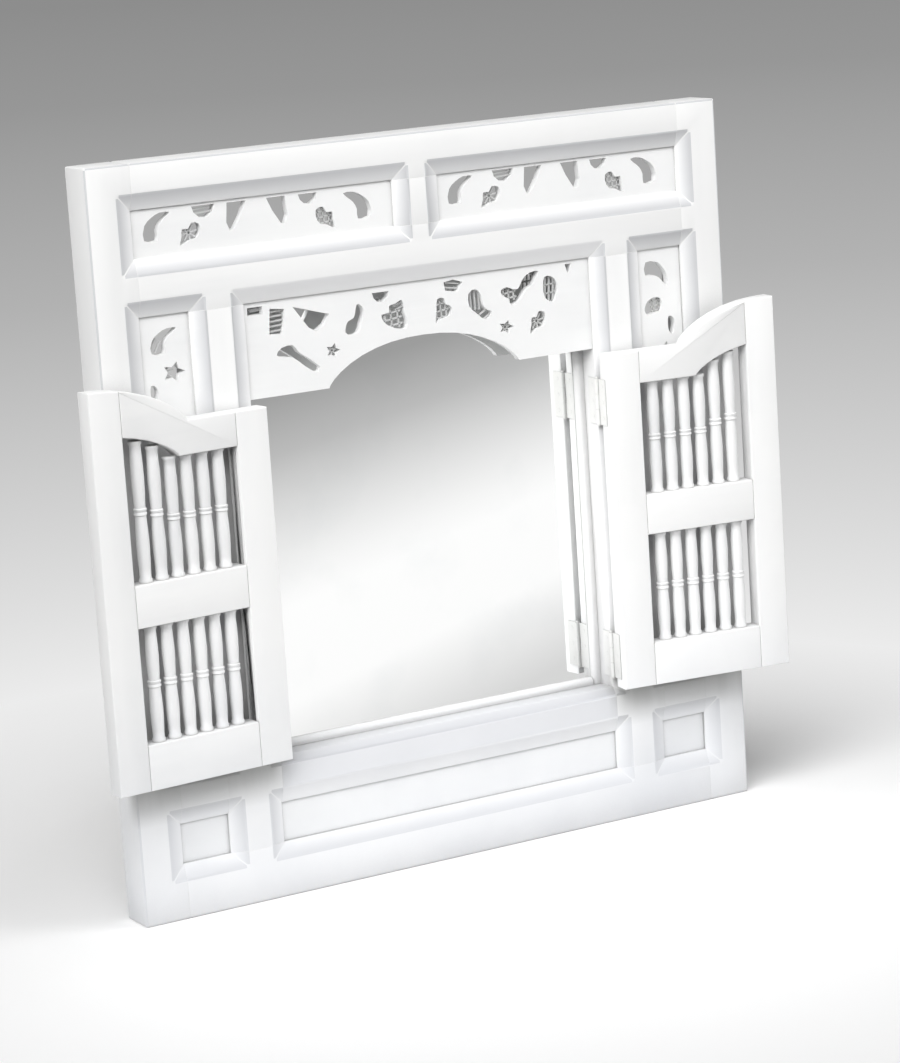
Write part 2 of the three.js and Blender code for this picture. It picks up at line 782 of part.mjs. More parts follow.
function shutterStile(x) {
  let stile = shutterUpright(x);
  for (const ends of Object.values(shutterRails)) {
    for (const tenon of shutterTenons(ends)) {
      stile = stile.subtract(block(grown(tenon, fitGap)));
    }
  }
  return stile;
}

function withTenons(rail, ends) {
  return shutterTenons(ends).reduce((solid, tenon) => solid.add(block(tenon)), rail);
}

// A spindle of the given height, standing on z = 0 with its foot let into the rail below.
function spindle(height) {
  const waist = height / 2;
  const profile = [
    [0, -spindleSeat],
    [spindleRadius, -spindleSeat],
    [spindleRadius, spindleRingHeight],
    [spindleNeckRadius, spindleNeckHeight],
    [spindleRadius, height * spindleLowerSwell],
    [spindleNeckRadius, waist - spindleRingHeight],
    [spindleRadius, waist - spindleRingHeight / 2],
    [spindleRadius, waist + spindleRingHeight / 2],
    [spindleNeckRadius, waist + spindleRingHeight],
    [spindleRadius, height * spindleUpperSwell],
    [spindleNeckRadius, height - spindleNeckHeight],
    [spindleRadius, height - spindleRingHeight],
    [spindleRadius, height],
    [0, height],
  ];
  return turned(profile, spindleSides);
}

// Spindles stand on their rail and reach up to just below the head of their window.
function withSpindles(rail, floor, headAt) {
  const pitch = (windowX[1] - windowX[0]) / (spindlesPerWindow + 1);
  let solid = rail;
  for (let i = 1; i <= spindlesPerWindow; i += 1) {
    const x = windowX[0] + pitch * i;
    const head = Math.min(headAt(x - spindleRadius), headAt(x + spindleRadius));
    solid = solid.add(spindle(head - fitGap - floor).translate([x, middleOfThickness, floor]));
  }
  return solid;
}

function straightRail(ends) {
  return withTenons(block({ x: windowX, y: shutterY, z: ends.atHinge }), ends);
}

function archedRail() {
  const lowerEdge = windowTop(windowX[0], windowX[1]);
  const upperEdge = shutterTop(windowX[1], windowX[0]);
  return withTenons(board(new THREE.Shape([...lowerEdge, ...upperEdge]), shutterY), shutterRails.top);
}

function shutterPieces() {
  const middleRail = straightRail(shutterRails.middle);
  const bottomRail = straightRail(shutterRails.bottom);
  return {
    hinge_stile: shutterStile([shutterEdges[0], windowX[0]]),
    free_stile: shutterStile([windowX[1], shutterEdges[1]]),
    top_rail: archedRail(),
    middle_rail: withSpindles(middleRail, upperWindowBottom, windowHeadAt),
    bottom_rail: withSpindles(bottomRail, lowerWindowBottom, () => lowerWindowTop),
  };
}

// ---- materials and scene graph -------------------------------------------------------------------

const finishes = {
  paintedWood: { color: 0xf0f0ee, roughness: 0.62, metalness: 0 },
  paintedPanel: { color: 0xe9eaea, roughness: 0.66, metalness: 0 },
  paintedSpindle: { color: 0xe4e5e6, roughness: 0.6, metalness: 0 },
  mirror: { color: 0xd6dadd, roughness: 0.03, metalness: 1 },
  backBoard: { color: 0xb99a6b, roughness: 0.85, metalness: 0 },
  hingeMetal: { color: 0xdcdcd8, roughness: 0.45, metalness: 0.6 },
  plainSteel: { color: 0x9a9c9e, roughness: 0.35, metalness: 0.9 },
};

const part = new THREE.Group();

function addPiece(parent, name, solid, finish) {
  const material = new THREE.MeshStandardMaterial(finishes[finish]);
  const mesh = new THREE.Mesh(toGeometry(solid), material);
  mesh.name = name;
  parent.add(mesh);
}

for (const name of Object.keys(memberBoxes)) {
  addPiece(part, name, frameMember(name), 'paintedWood');
}

addPiece(part, 'top_panel_left', topPanel('top_left'), 'paintedPanel');
addPiece(part, 'top_panel_right', topPanel('top_right'), 'paintedPanel');
addPiece(part, 'side_panel_left', sidePanel('side_left', leftSideCarving), 'paintedPanel');
addPiece(part, 'side_panel_right', sidePanel('side_right', rightSideCarving), 'paintedPanel');
addPiece(part, 'apron', apron(), 'paintedPanel');
for (const place of ['bottom_left', 'bottom_centre', 'bottom_right']) {
  addPiece(part, `${place}_panel`, plainPanel(place), 'paintedPanel');
}

addPiece(part, 'mirror_glass', mirrorSheet(glassY), 'mirror');
addPiece(part, 'backing_board', mirrorSheet(boardY), 'backBoard');
addPiece(part, 'mirror_bead_left', sideBead(), 'paintedWood');
addPiece(part, 'mirror_bead_right', mirroredSolid(sideBead()), 'paintedWood');
addPiece(part, 'mirror_bead_bottom', footBead(), 'paintedWood');
addPiece(part, 'mirror_bead_top', headBead(), 'paintedWood');
for (const [i, box] of clipBoxes.entries()) {
  addPiece(part, `backing_clip_${i + 1}`, block(box), 'plainSteel');
}
addPiece(part, 'hanging_plate_left', hangingPlate(hangerX), 'plainSteel');
addPiece(part, 'hanging_plate_right', hangingPlate(-hangerX), 'plainSteel');

const hingeHeights = {
  lower: shutterBottom + lowerHingeInset,
  upper: shutterSpring - upperHingeInset,
};

// One side of the opening: a turn of -1 puts the pieces made for the left on the right.
function addShutter(side, sign, openDegrees) {
  const handed = (solid) => (sign > 0 ? solid : mirroredSolid(solid));
  const jamb = new THREE.Group();
  jamb.position.set(sign * pinX, pinY, 0);
  const shutter = new THREE.Group();
  shutter.rotation.z = THREE.MathUtils.degToRad(-sign * openDegrees);
  jamb.add(shutter);
  part.add(jamb);
  for (const [place, height] of Object.entries(hingeHeights)) {
    const raised = (solid) => handed(solid).translate([0, 0, height]);
    addPiece(jamb, `${side}_${place}_jamb_leaf`, raised(jambLeaf()), 'hingeMetal');
    addPiece(jamb, `${side}_${place}_hinge_pin`, raised(hingePin()), 'hingeMetal');
    addPiece(shutter, `${side}_${place}_shutter_leaf`, raised(shutterLeaf()), 'hingeMetal');
  }
  for (const [name, solid] of Object.entries(shutterPieces())) {
    const finish = name.endsWith('stile') || name === 'top_rail' ? 'paintedWood' : 'paintedSpindle';
    addPiece(shutter, `${side}_shutter_${name}`, handed(solid), finish);
  }
}

addShutter('left', 1, leftShutterOpen);
addShutter('right', -1, rightShutterOpen);

export default part;
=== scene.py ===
# %% [markdown]
# # Overmantel mirror with two openwork shutters
# A white painted frame-and-panel mirror stands on a pale studio floor. Its panels are carved and
# pierced, the mirror sits under an arched apron, and two shutters filled with turned spindles are
# folded open against the frame. The solids come from the CAD model; this script gives them eased
# edges, turned work, carving, paint and light. Everything is in metres in the CAD model's frame.

# %% Load the frame
import json
import math

import bpy
import bmesh
from mathutils import Matrix, Vector

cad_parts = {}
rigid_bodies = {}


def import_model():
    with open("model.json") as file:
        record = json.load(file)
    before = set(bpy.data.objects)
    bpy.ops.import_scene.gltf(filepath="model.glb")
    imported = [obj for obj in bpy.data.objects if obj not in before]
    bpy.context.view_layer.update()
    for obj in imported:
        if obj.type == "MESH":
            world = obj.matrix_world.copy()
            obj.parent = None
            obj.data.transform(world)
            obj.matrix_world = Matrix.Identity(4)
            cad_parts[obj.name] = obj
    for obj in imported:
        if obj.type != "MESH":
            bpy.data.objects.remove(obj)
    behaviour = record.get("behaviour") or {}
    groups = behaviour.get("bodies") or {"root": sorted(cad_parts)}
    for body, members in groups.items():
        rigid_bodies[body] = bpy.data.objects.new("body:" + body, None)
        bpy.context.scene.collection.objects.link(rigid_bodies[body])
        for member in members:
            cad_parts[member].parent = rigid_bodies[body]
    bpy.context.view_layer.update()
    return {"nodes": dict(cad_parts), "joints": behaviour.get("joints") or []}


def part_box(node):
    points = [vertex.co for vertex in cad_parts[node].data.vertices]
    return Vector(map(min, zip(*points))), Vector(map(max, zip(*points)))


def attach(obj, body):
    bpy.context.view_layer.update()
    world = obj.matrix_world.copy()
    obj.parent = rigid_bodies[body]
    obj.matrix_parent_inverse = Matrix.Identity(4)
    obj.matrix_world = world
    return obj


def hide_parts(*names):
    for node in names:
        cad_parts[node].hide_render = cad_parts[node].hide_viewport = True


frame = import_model()

# %% [markdown]
# ## Camera
# The photograph was taken from the left and a little above, with the camera tipped sideways by a
# few degrees. Its place was worked out from the corners of the frame, so the same corners fall on
# the same spots here. The three turns are built up as a tripod head makes them: pan, tilt, roll.

# %% Camera
CAMERA_PLACE = (-2.1331, -3.8215, 1.2836)
CAMERA_PAN = math.radians(-29.5)
CAMERA_TILT = math.radians(-11.121)
CAMERA_ROLL = math.radians(3.77)
LENS_IN_PIXELS = 3500
PHOTO_HEIGHT = 1063

bpy.ops.object.camera_add(location=CAMERA_PLACE)
camera = bpy.context.object
camera.name = "studio_camera"
camera.data.sensor_width = 36
camera.data.lens = LENS_IN_PIXELS * camera.data.sensor_width / PHOTO_HEIGHT
camera.data.clip_end = 200
looking_forward = Matrix.Rotation(math.radians(90), 3, "X")
turned = Matrix.Rotation(CAMERA_PAN, 3, "Z") @ Matrix.Rotation(CAMERA_TILT, 3, "X")
turned = turned @ Matrix.Rotation(CAMERA_ROLL, 3, "Y") @ looking_forward
camera.rotation_euler = turned.to_euler()
bpy.context.scene.camera = camera
print("lens", round(camera.data.lens, 1), "mm")

# %% [markdown]
# ## Helpers for modelling by hand
# Operators act on whatever is selected, so each step first selects one object alone. Edges and
# faces are picked in code by where they lie. A finished piece rides on the CAD body that carries
# it, and stands for the CAD solid it was made from.

# %% Selecting and applying
def pick(obj):
    """Makes one object the only selected and active one."""
    bpy.ops.object.select_all(action="DESELECT")
    obj.select_set(True)
    bpy.context.view_layer.objects.active = obj


def apply_all_modifiers(obj):
    pick(obj)
    for modifier in list(obj.modifiers):
        bpy.ops.object.modifier_apply(modifier=modifier.name)


def join(pieces, name):
    """Joins pieces into the first one."""
    bpy.ops.object.select_all(action="DESELECT")
    for piece in pieces:
        piece.select_set(True)
    bpy.context.view_layer.objects.active = pieces[0]
    bpy.ops.object.join()
    pieces[0].name = name
    return pieces[0]


def settle(obj):
    """Puts the object's place and turn into its mesh."""
    pick(obj)
    bpy.ops.object.transform_apply(location=True, rotation=True, scale=True)


def copy_of(pattern, name):
    """A copy with a mesh of its own."""
    pick(pattern)
    bpy.ops.object.duplicate()
    copy = bpy.context.object
    copy.data = copy.data.copy()
    copy.name = name
    return copy


# %% [markdown]
# ## Eased edges
# Painted joinery never has a knife edge: sanding and a few coats of paint round every arris. Each
# CAD solid is copied, its loose triangles are merged and flat faces made whole again, and a bevel
# rounds its edges. How much is chosen by edge: the outside of the frame and the shoulders of the
# splays are well rounded, while joints between members only show as a hairline.

# %% Eased copies of the solids
MERGE_DISTANCE = 0.00001
FLAT_ANGLE = math.radians(0.5)
SHARP_ANGLE = math.radians(8)
WIDEST_EASING = 0.003


def loose_copy(node, name):
    """A copy of a CAD solid with merged corners and whole flat faces, free of its parent."""
    pick(frame["nodes"][node])
    bpy.ops.object.duplicate()
    piece = bpy.context.object
    piece.name = name
    bpy.ops.object.parent_clear(type="CLEAR_KEEP_TRANSFORM")
    settle(piece)
    bpy.ops.object.mode_set(mode="EDIT")
    bpy.ops.mesh.select_all(action="SELECT")
    bpy.ops.mesh.remove_doubles(threshold=MERGE_DISTANCE)
    bpy.ops.mesh.dissolve_limited(angle_limit=FLAT_ANGLE)
    bpy.ops.object.mode_set(mode="OBJECT")
    return piece


def ease(piece, width_of):
    """Rounds edges: width_of(edge, angle) gives the rounding of each edge in metres."""
    mesh = bmesh.new()
    mesh.from_mesh(piece.data)
    layer = mesh.edges.layers.float.get("bevel_weight_edge")
    if layer is None:
        layer = mesh.edges.layers.float.new("bevel_weight_edge")
    for edge in mesh.edges:
        angle = edge.calc_face_angle(0)
        if angle > SHARP_ANGLE:
            edge[layer] = min(width_of(edge, angle) / WIDEST_EASING, 1)
    mesh.to_mesh(piece.data)
    mesh.free()
    bevel = piece.modifiers.new("eased", "BEVEL")
    bevel.limit_method = "WEIGHT"
    bevel.width = WIDEST_EASING
    bevel.segments = 3
    bevel.use_clamp_overlap = False
    bevel.loop_slide = False
    bevel.miter_outer = "MITER_ARC"
    apply_all_modifiers(piece)
    pick(piece)
    bpy.ops.object.shade_smooth_by_angle(angle=math.radians(24))


def stand_for(piece, node, body):
    """The piece is shown in place of a CAD node and moves with its body."""
    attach(piece, body)
    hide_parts(node)


FRAME_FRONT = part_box("top_rail")[0].y
FRAME_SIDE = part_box("outer_stile_right")[1].x
FRAME_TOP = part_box("top_rail")[1].z
OUTSIDE_EASING = 0.0026
SHOULDER_EASING = 0.0024
SPLAY_END_EASING = 0.0009
JOINT_EASING = 0.00022
SPLAY_DEPTH = 0.008


def near(value, target):
    return abs(value - target) < 0.0002


def member_easing(edge, angle):
    """Frame members: round outside, soft shoulders on the splays, hairlines at the joints."""
    middle = (edge.verts[0].co + edge.verts[1].co) / 2
    if near(abs(middle.x), FRAME_SIDE) or near(middle.z, 0) or near(middle.z, FRAME_TOP):
        return OUTSIDE_EASING
    if near(middle.y, FRAME_FRONT) and angle < math.radians(40):
        return SHOULDER_EASING
    if middle.y < FRAME_FRONT + SPLAY_DEPTH + 0.001 and angle < math.radians(80):
        return SPLAY_END_EASING
    return JOINT_EASING


FRAME_MEMBERS = [
    "outer_stile_left", "outer_stile_right", "top_rail", "upper_rail", "bottom_rail", "mullion",
    "inner_stile_left", "inner_stile_right", "sill_rail", "cross_rail_left", "cross_rail_right",
]
painted = []
for node in FRAME_MEMBERS:
    member = loose_copy(node, "eased_" + node)
    ease(member, member_easing)
    stand_for(member, node, "frame")
    painted.append(member)
print("frame members eased:", len(painted))

# %% [markdown]
# ## Panels
# The three bottom panels are plain boards. The five upper ones are carved right through. A chisel
# leaves the rim of each opening slightly rounded. The front is inset by a hair, which draws a
# second line round every opening, and the old rim is then pushed back, so that it slopes.

# %% Panels
PANEL_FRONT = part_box("apron")[0].y
RIM_WIDTH = 0.0009
RIM_DEPTH = 0.0009


def ease_rims(panel):
    pick(panel)
    for face in panel.data.polygons:
        face.select = near(face.center.y, PANEL_FRONT) and face.normal.y < -0.99
    bpy.ops.object.mode_set(mode="EDIT")
    bpy.ops.mesh.select_mode(type="FACE")
    bpy.ops.mesh.inset(thickness=RIM_WIDTH, use_boundary=True, use_even_offset=True)
    bpy.ops.object.mode_set(mode="OBJECT")
    inner = {i for face in panel.data.polygons if face.select for i in face.vertices}
    for face in panel.data.polygons:
        face.select = False
    for edge in panel.data.edges:
        edge.select = False
    for vertex in panel.data.vertices:
        vertex.select = near(vertex.co.y, PANEL_FRONT) and vertex.index not in inner
    bpy.ops.object.mode_set(mode="EDIT")
    bpy.ops.mesh.select_mode(type="VERT")
    bpy.ops.transform.translate(value=(0, RIM_DEPTH, 0))
    bpy.ops.object.mode_set(mode="OBJECT")
    bpy.ops.object.shade_smooth_by_angle(angle=math.radians(50))


PANELS = [
    "top_panel_left", "top_panel_right", "side_panel_left", "side_panel_right", "apron",
    "bottom_left_panel", "bottom_centre_panel", "bottom_right_panel",
]
panels = {}
for node in PANELS:
    panel = loose_copy(node, "eased_" + node)
    ease_rims(panel)
    stand_for(panel, node, "frame")
    panels[node] = panel
print("panels eased:", len(panels))

# %% [markdown]
# ## Veins in the carving
# A carver doesn't clear every opening: thin veins are left standing in leaves and flowers, a few
# millimetres behind the front, where they catch some light against the dark. One vein is made
# from a slim bar with rounded arrises; the others are copies, laid level, upright or in a star.
# Their ends run into the wood of the panel.

# %% One vein
VEIN_WIDTH = 0.0022
VEIN_DEPTH = 0.003
VEIN_SETBACK = 0.0035
VEIN_ROUNDING = 0.0004


def make_vein():
    """A vein of length 1 along X, standing at the origin."""
    bpy.ops.mesh.primitive_cube_add(size=1)
    vein = bpy.context.object
    bpy.ops.transform.resize(value=(1, VEIN_DEPTH, VEIN_WIDTH))
    settle(vein)
    bpy.ops.object.mode_set(mode="EDIT")
    bpy.ops.mesh.select_all(action="SELECT")
    bpy.ops.mesh.bevel(offset=VEIN_ROUNDING, segments=2)
    bpy.ops.object.mode_set(mode="OBJECT")
    return vein


pattern_vein = make_vein()


def lay_vein(x, z, length, degrees):
    """A copy of the vein with its middle at x, z in the front of the frame."""
    vein = copy_of(pattern_vein, "vein")
    turn = Matrix.Rotation(math.radians(-degrees), 4, "Y")
    stretch = Matrix.Diagonal((length, 1, 1, 1))
    spot = (x, PANEL_FRONT + VEIN_SETBACK + VEIN_DEPTH / 2, z)
    vein.matrix_world = Matrix.Translation(spot) @ turn @ stretch
    settle(vein)
    return vein


# %% Leaves, lattices and stars
def parallel_veins(x, z, width, height, degrees, count):
    """Veins side by side: each as long as width, spread over height."""
    veins = []
    across = math.radians(degrees + 90)
    for i in range(count):
        share = (i + 0.5) / count - 0.5
        veins.append(lay_vein(x + share * height * math.cos(across),
                              z + share * height * math.sin(across), width, degrees))
    return veins


def lattice(x, z, width, height, count):
    return (parallel_veins(x, z, width, height, 8, count)
            + parallel_veins(x, z, height, width, 96, count))


def star(x, z, size, count):
    return [lay_vein(x, z, size, 180 * i / count + 12) for i in range(count)]


APRON_FOOT = 0.630
TOP_PANEL_MIDDLE = (0.21125, 0.849)
CARVED_PANELS = ["apron", "top_panel_left", "top_panel_right", "side_panel_left",
                 "side_panel_right"]
veined = {node: [] for node in CARVED_PANELS}
apron = veined["apron"]
apron += parallel_veins(-0.204, APRON_FOOT + 0.092, 0.021, 0.030, 3, 5)
apron += lattice(-0.042, APRON_FOOT + 0.074, 0.030, 0.024, 3)
apron += parallel_veins(-0.030, APRON_FOOT + 0.090, 0.014, 0.012, 20, 2)
apron += lattice(0.030, APRON_FOOT + 0.076, 0.022, 0.026, 3)
apron += parallel_veins(0.048, APRON_FOOT + 0.106, 0.020, 0.012, -8, 2)
apron += parallel_veins(0.080, APRON_FOOT + 0.084, 0.026, 0.018, 92, 3)
apron += parallel_veins(0.094, APRON_FOOT + 0.064, 0.014, 0.016, 30, 2)
apron += lattice(0.130, APRON_FOOT + 0.087, 0.022, 0.022, 3)
apron += parallel_veins(0.191, APRON_FOOT + 0.085, 0.030, 0.018, 86, 3)
apron += parallel_veins(0.191, APRON_FOOT + 0.085, 0.018, 0.022, 4, 2)
apron += star(-0.129, APRON_FOOT + 0.046, 0.016, 3)
apron += star(0.122, APRON_FOOT + 0.044, 0.018, 4)
apron += star(0.169, APRON_FOOT + 0.046, 0.022, 4)
for side, sign in (("left", -1), ("right", 1)):
    middle_x, middle_z = sign * TOP_PANEL_MIDDLE[0], TOP_PANEL_MIDDLE[1]
    row = veined["top_panel_" + side]
    row += star(middle_x - 0.101, middle_z - 0.006, 0.022, 4)
    row += lattice(middle_x + 0.084, middle_z - 0.007, 0.021, 0.022, 3)
    row += parallel_veins(middle_x - 0.081, middle_z + 0.019, 0.024, 0.010, 4, 2)
veined["side_panel_left"] += star(-0.358, 0.678, 0.022, 4)
veined["side_panel_left"] += parallel_veins(-0.371, 0.714, 0.016, 0.020, 60, 3)
veined["side_panel_right"] += lattice(0.356, 0.674, 0.022, 0.018, 3)
veined["side_panel_right"] += parallel_veins(0.382, 0.646, 0.018, 0.006, 84, 2)
bpy.data.objects.remove(pattern_vein)
traceries = []
for node, veins in veined.items():
    tracery = join(veins, "veins_" + node)
    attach(tracery, "frame")
    traceries.append(tracery)
print("veined panels:", len(traceries))

# %% [markdown]
# ## Shutters
# Each shutter is a small frame of its own. Its stiles and arched top rail are eased copies. The
# middle and bottom rails are cut free of the CAD model's simple spindles, so that properly turned
# ones can stand in their place.

# %% Shutter frames
SHUTTER_FRAMES = ["hinge_stile", "free_stile", "top_rail"]
SHUTTER_RAILS = ["middle_rail", "bottom_rail"]
RAIL_TOPS = {"middle_rail": 0.437, "bottom_rail": 0.240}
THROUGH_EDGE_FROM = 0.02
SHUTTER_EASING = 0.0017
SHUTTER_JOINT_EASING = 0.00025
SPINDLE_PLAY = 0.0003


def shutter_easing(edge, angle):
    """Shutter members: hairlines on the level edges from front to back, soft edges elsewhere."""
    start, end = (vertex.co for vertex in edge.verts)
    across = abs(start.z - end.z) < 0.0001 and abs(start.y - end.y) > THROUGH_EDGE_FROM
    return SHUTTER_JOINT_EASING if across else SHUTTER_EASING


def cut_off_above(piece, height):
    """Removes what stands above a height and closes the cut."""
    pick(piece)
    bpy.ops.object.mode_set(mode="EDIT")
    bpy.ops.mesh.select_all(action="SELECT")
    bpy.ops.mesh.bisect(
        plane_co=(0, 0, height), plane_no=(0, 0, 1), use_fill=True, clear_outer=True,
        threshold=MERGE_DISTANCE)
    bpy.ops.mesh.select_all(action="SELECT")
    bpy.ops.mesh.dissolve_limited(angle_limit=FLAT_ANGLE)
    bpy.ops.object.mode_set(mode="OBJECT")


for side in ("left", "right"):
    body = side + "_shutter"
    for part_name in SHUTTER_FRAMES + SHUTTER_RAILS:
        node = f"{side}_shutter_{part_name}"
        piece = loose_copy(node, "eased_" + node)
        if part_name in SHUTTER_RAILS:
            cut_off_above(piece, RAIL_TOPS[part_name] - SPINDLE_PLAY)
        ease(piece, shutter_easing)
        stand_for(piece, node, body)
        painted.append(piece)
print("shutter pieces eased:", len(painted) - len(FRAME_MEMBERS))

# %% [markdown]
# ## Turned spindles
# A spindle is turned on a lathe from a square stick: a short collar at each end, two long gentle
# swells and a low double ring at the waist. Here a disc is drawn upwards ring by ring, each ring
# extruded from the last and widened or narrowed, as the turner's gouge does. Two are turned, one
# for each row of windows; the others are copies stretched to the height of their place.

# %% Spindle profile
SPINDLE_RADIUS = 0.0084
SPINDLE_SIDES = 24


def spindle_profile(height):
    """Radius and height of each ring of the profile, from the foot up."""
    radius = SPINDLE_RADIUS
    waist = height / 2
    outline = [(radius, 0.0), (radius, 0.0036), (radius * 0.86, 0.0052)]
    for share, swell in ((0.1, 0.88), (0.18, 0.95), (0.27, 0.98), (0.36, 0.94), (0.44, 0.85)):
        outline.append((radius * swell, height * share))
    for step, swell in ((-0.0046, 0.82), (-0.0036, 0.98), (-0.0014, 0.98), (-0.0005, 0.88),
                        (0.0005, 0.88), (0.0014, 0.98), (0.0036, 0.98), (0.0046, 0.82)):
        outline.append((radius * swell, waist + step))
    for share, swell in ((0.56, 0.84), (0.65, 0.92), (0.74, 0.96), (0.83, 0.93), (0.91, 0.86)):
        outline.append((radius * swell, height * share))
    outline += [(radius * 0.84, height - 0.0052), (radius, height - 0.0036), (radius, height)]
    return outline


def turn_spindle(name, height):
    """A spindle that stands on the origin."""
    outline = spindle_profile(height)
    bpy.ops.mesh.primitive_circle_add(
        vertices=SPINDLE_SIDES, radius=outline[0][0], fill_type="NGON")
    spindle = bpy.context.object
    spindle.name = name
    bpy.ops.object.mode_set(mode="EDIT")
    bpy.ops.mesh.select_all(action="SELECT")
    for (radius, rise), (next_radius, next_rise) in zip(outline, outline[1:]):
        bpy.ops.mesh.extrude_region_move(
            TRANSFORM_OT_translate={"value": (0, 0, next_rise - rise)})
        growth = next_radius / radius
        bpy.ops.transform.resize(value=(growth, growth, 1), center_override=(0, 0, next_rise))
    bpy.ops.mesh.select_all(action="SELECT")
    bpy.ops.mesh.normals_make_consistent(inside=False)
    bpy.ops.object.mode_set(mode="OBJECT")
    bpy.ops.object.shade_smooth_by_angle(angle=math.radians(50))
    return spindle


PATTERN_HEIGHTS = {"middle_rail": 0.165, "bottom_rail": 0.1437}
spindle_patterns = {
    rail: turn_spindle("pattern_" + rail, height) for rail, height in PATTERN_HEIGHTS.items()}
print("faces of one spindle:", len(spindle_patterns["middle_rail"].data.polygons))

# %% [markdown]
# ## Where the spindles stand
# The shutters are drawn closed and swung open about their hinge pins, so a spindle's place is
# first found on the closed shutter and then turned about the pin by the same angle. The heads of
# the upper windows follow the arch; the height of each spindle is measured under the top rail.

# %% Spindle places
SPINDLES_PER_WINDOW = 6
WINDOW_FROM_PIN = (0.0466, 0.2029)
SPINDLE_DEPTH_FROM_PIN = 0.019
LOWER_WINDOW_TOP = 0.384
joints = {joint["child"]: joint for joint in frame["joints"]}


def closed_to_open(side):
    """Turns a point on the closed shutter about its hinge pin to where it stands at rest."""
    joint = joints[side + "_shutter"]
    opened = -math.radians(joint["range_deg"][0])
    turn = Matrix.Rotation(opened, 4, Vector(joint["axis"]))
    pin = Matrix.Translation(Vector(joint["pos_m"]))
    return pin @ turn @ pin.inverted()


WINDOW_HEAD_SPRING = 0.584
WINDOW_HEAD_RISE = 0.036
WINDOW_HEAD_HALF_SPAN = 0.120


def window_head(x):
    """Height of the upper window's arched head at a distance x from the middle of the frame."""
    share = min(abs(x) / WINDOW_HEAD_HALF_SPAN, 1)
    return WINDOW_HEAD_SPRING + WINDOW_HEAD_RISE * (1 - share ** 2.2) ** 0.75


spindles = []
for side, sign in (("left", 1), ("right", -1)):
    pin = Vector(joints[side + "_shutter"]["pos_m"])
    swing = closed_to_open(side)
    pitch = (WINDOW_FROM_PIN[1] - WINDOW_FROM_PIN[0]) / (SPINDLES_PER_WINDOW + 1)
    for rail, floor in RAIL_TOPS.items():
        node = f"{side}_shutter_{rail}"
        for i in range(1, SPINDLES_PER_WINDOW + 1):
            out = WINDOW_FROM_PIN[0] + pitch * i
            x = pin.x + sign * out
            head = LOWER_WINDOW_TOP
            if rail == "middle_rail":
                inner = abs(x) + SPINDLE_RADIUS
                head = window_head(inner)
            name = f"{side}_{'upper' if rail == 'middle_rail' else 'lower'}_spindle_{i}"
            spindle = copy_of(spindle_patterns[rail], name)
            stretch = (head - SPINDLE_PLAY - floor) / PATTERN_HEIGHTS[rail]
            standing = swing @ Matrix.Translation((x, pin.y + SPINDLE_DEPTH_FROM_PIN, floor))
            spindle.matrix_world = standing @ Matrix.Diagonal((1, 1, stretch, 1))
            settle(spindle)
            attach(spindle, side + "_shutter")
            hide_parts(node)
            spindles.append(spindle)
for pattern in spindle_patterns.values():
    bpy.data.objects.remove(pattern)
print("spindles standing:", len(spindles))

# %% [markdown]
# ## Screws
# Every hinge leaf is held by three countersunk screws and every clip and hanging plate by slotted
# ones. A head is a short cylinder with an inset face; two cuts mark a strip across it, which is
# pushed down as the slot. It is sunk in the metal, and only a hair of it stands proud.

# %% One slotted screw head
SCREW_RADIUS = 0.0024
SCREW_PROUD = 0.0001
SCREW_DEPTH = 0.0008
SCREW_RIM = 0.0004
SLOT_HALF_WIDTH = 0.0003
SLOT_DEPTH = 0.0005


def inside_rim(head, face):
    """Whether a face of the head lies on top, within the rim."""
    reach = max(math.hypot(*head.data.vertices[i].co.xy) for i in face.vertices)
    return face.normal.z > 0.9 and reach < SCREW_RADIUS - SCREW_RIM / 2


def screw_head():
    """A slotted head that faces up, its surface at the origin."""
    bpy.ops.mesh.primitive_cylinder_add(
        vertices=20, radius=SCREW_RADIUS, depth=SCREW_DEPTH,
        location=(0, 0, SCREW_PROUD - SCREW_DEPTH / 2))
    head = bpy.context.object
    head.name = "pattern_screw"
    settle(head)
    for face in head.data.polygons:
        face.select = face.normal.z > 0.9
    bpy.ops.object.mode_set(mode="EDIT")
    bpy.ops.mesh.select_mode(type="FACE")
    bpy.ops.mesh.inset(thickness=SCREW_RIM)
    for edge_of_slot in (-SLOT_HALF_WIDTH, SLOT_HALF_WIDTH):
        bpy.ops.mesh.bisect(
            plane_co=(edge_of_slot, 0, 0), plane_no=(1, 0, 0), threshold=MERGE_DISTANCE)
        bpy.ops.object.mode_set(mode="OBJECT")
        for face in head.data.polygons:
            face.select = inside_rim(head, face)
        bpy.ops.object.mode_set(mode="EDIT")
    bpy.ops.object.mode_set(mode="OBJECT")
    for face in head.data.polygons:
        face.select = inside_rim(head, face) and abs(face.center.x) < SLOT_HALF_WIDTH / 2
    bpy.ops.object.mode_set(mode="EDIT")
    bpy.ops.mesh.extrude_region_move(TRANSFORM_OT_translate={"value": (0, 0, -SLOT_DEPTH)})
    bpy.ops.object.mode_set(mode="OBJECT")
    return head


pattern_screw = screw_head()


def drive_screw(name, place, facing, twist, swing=Matrix()):
    """A copy of the head at a place, facing a direction, its slot turned by twist degrees."""
    screw = copy_of(pattern_screw, name)
    aim = Vector(facing).to_track_quat("Z", "Y").to_matrix().to_4x4()
    slot_turn = Matrix.Rotation(math.radians(twist), 4, "Z")
    screw.matrix_world = swing @ (Matrix.Translation(Vector(place)) @ aim @ slot_turn)
    settle(screw)
    return screw


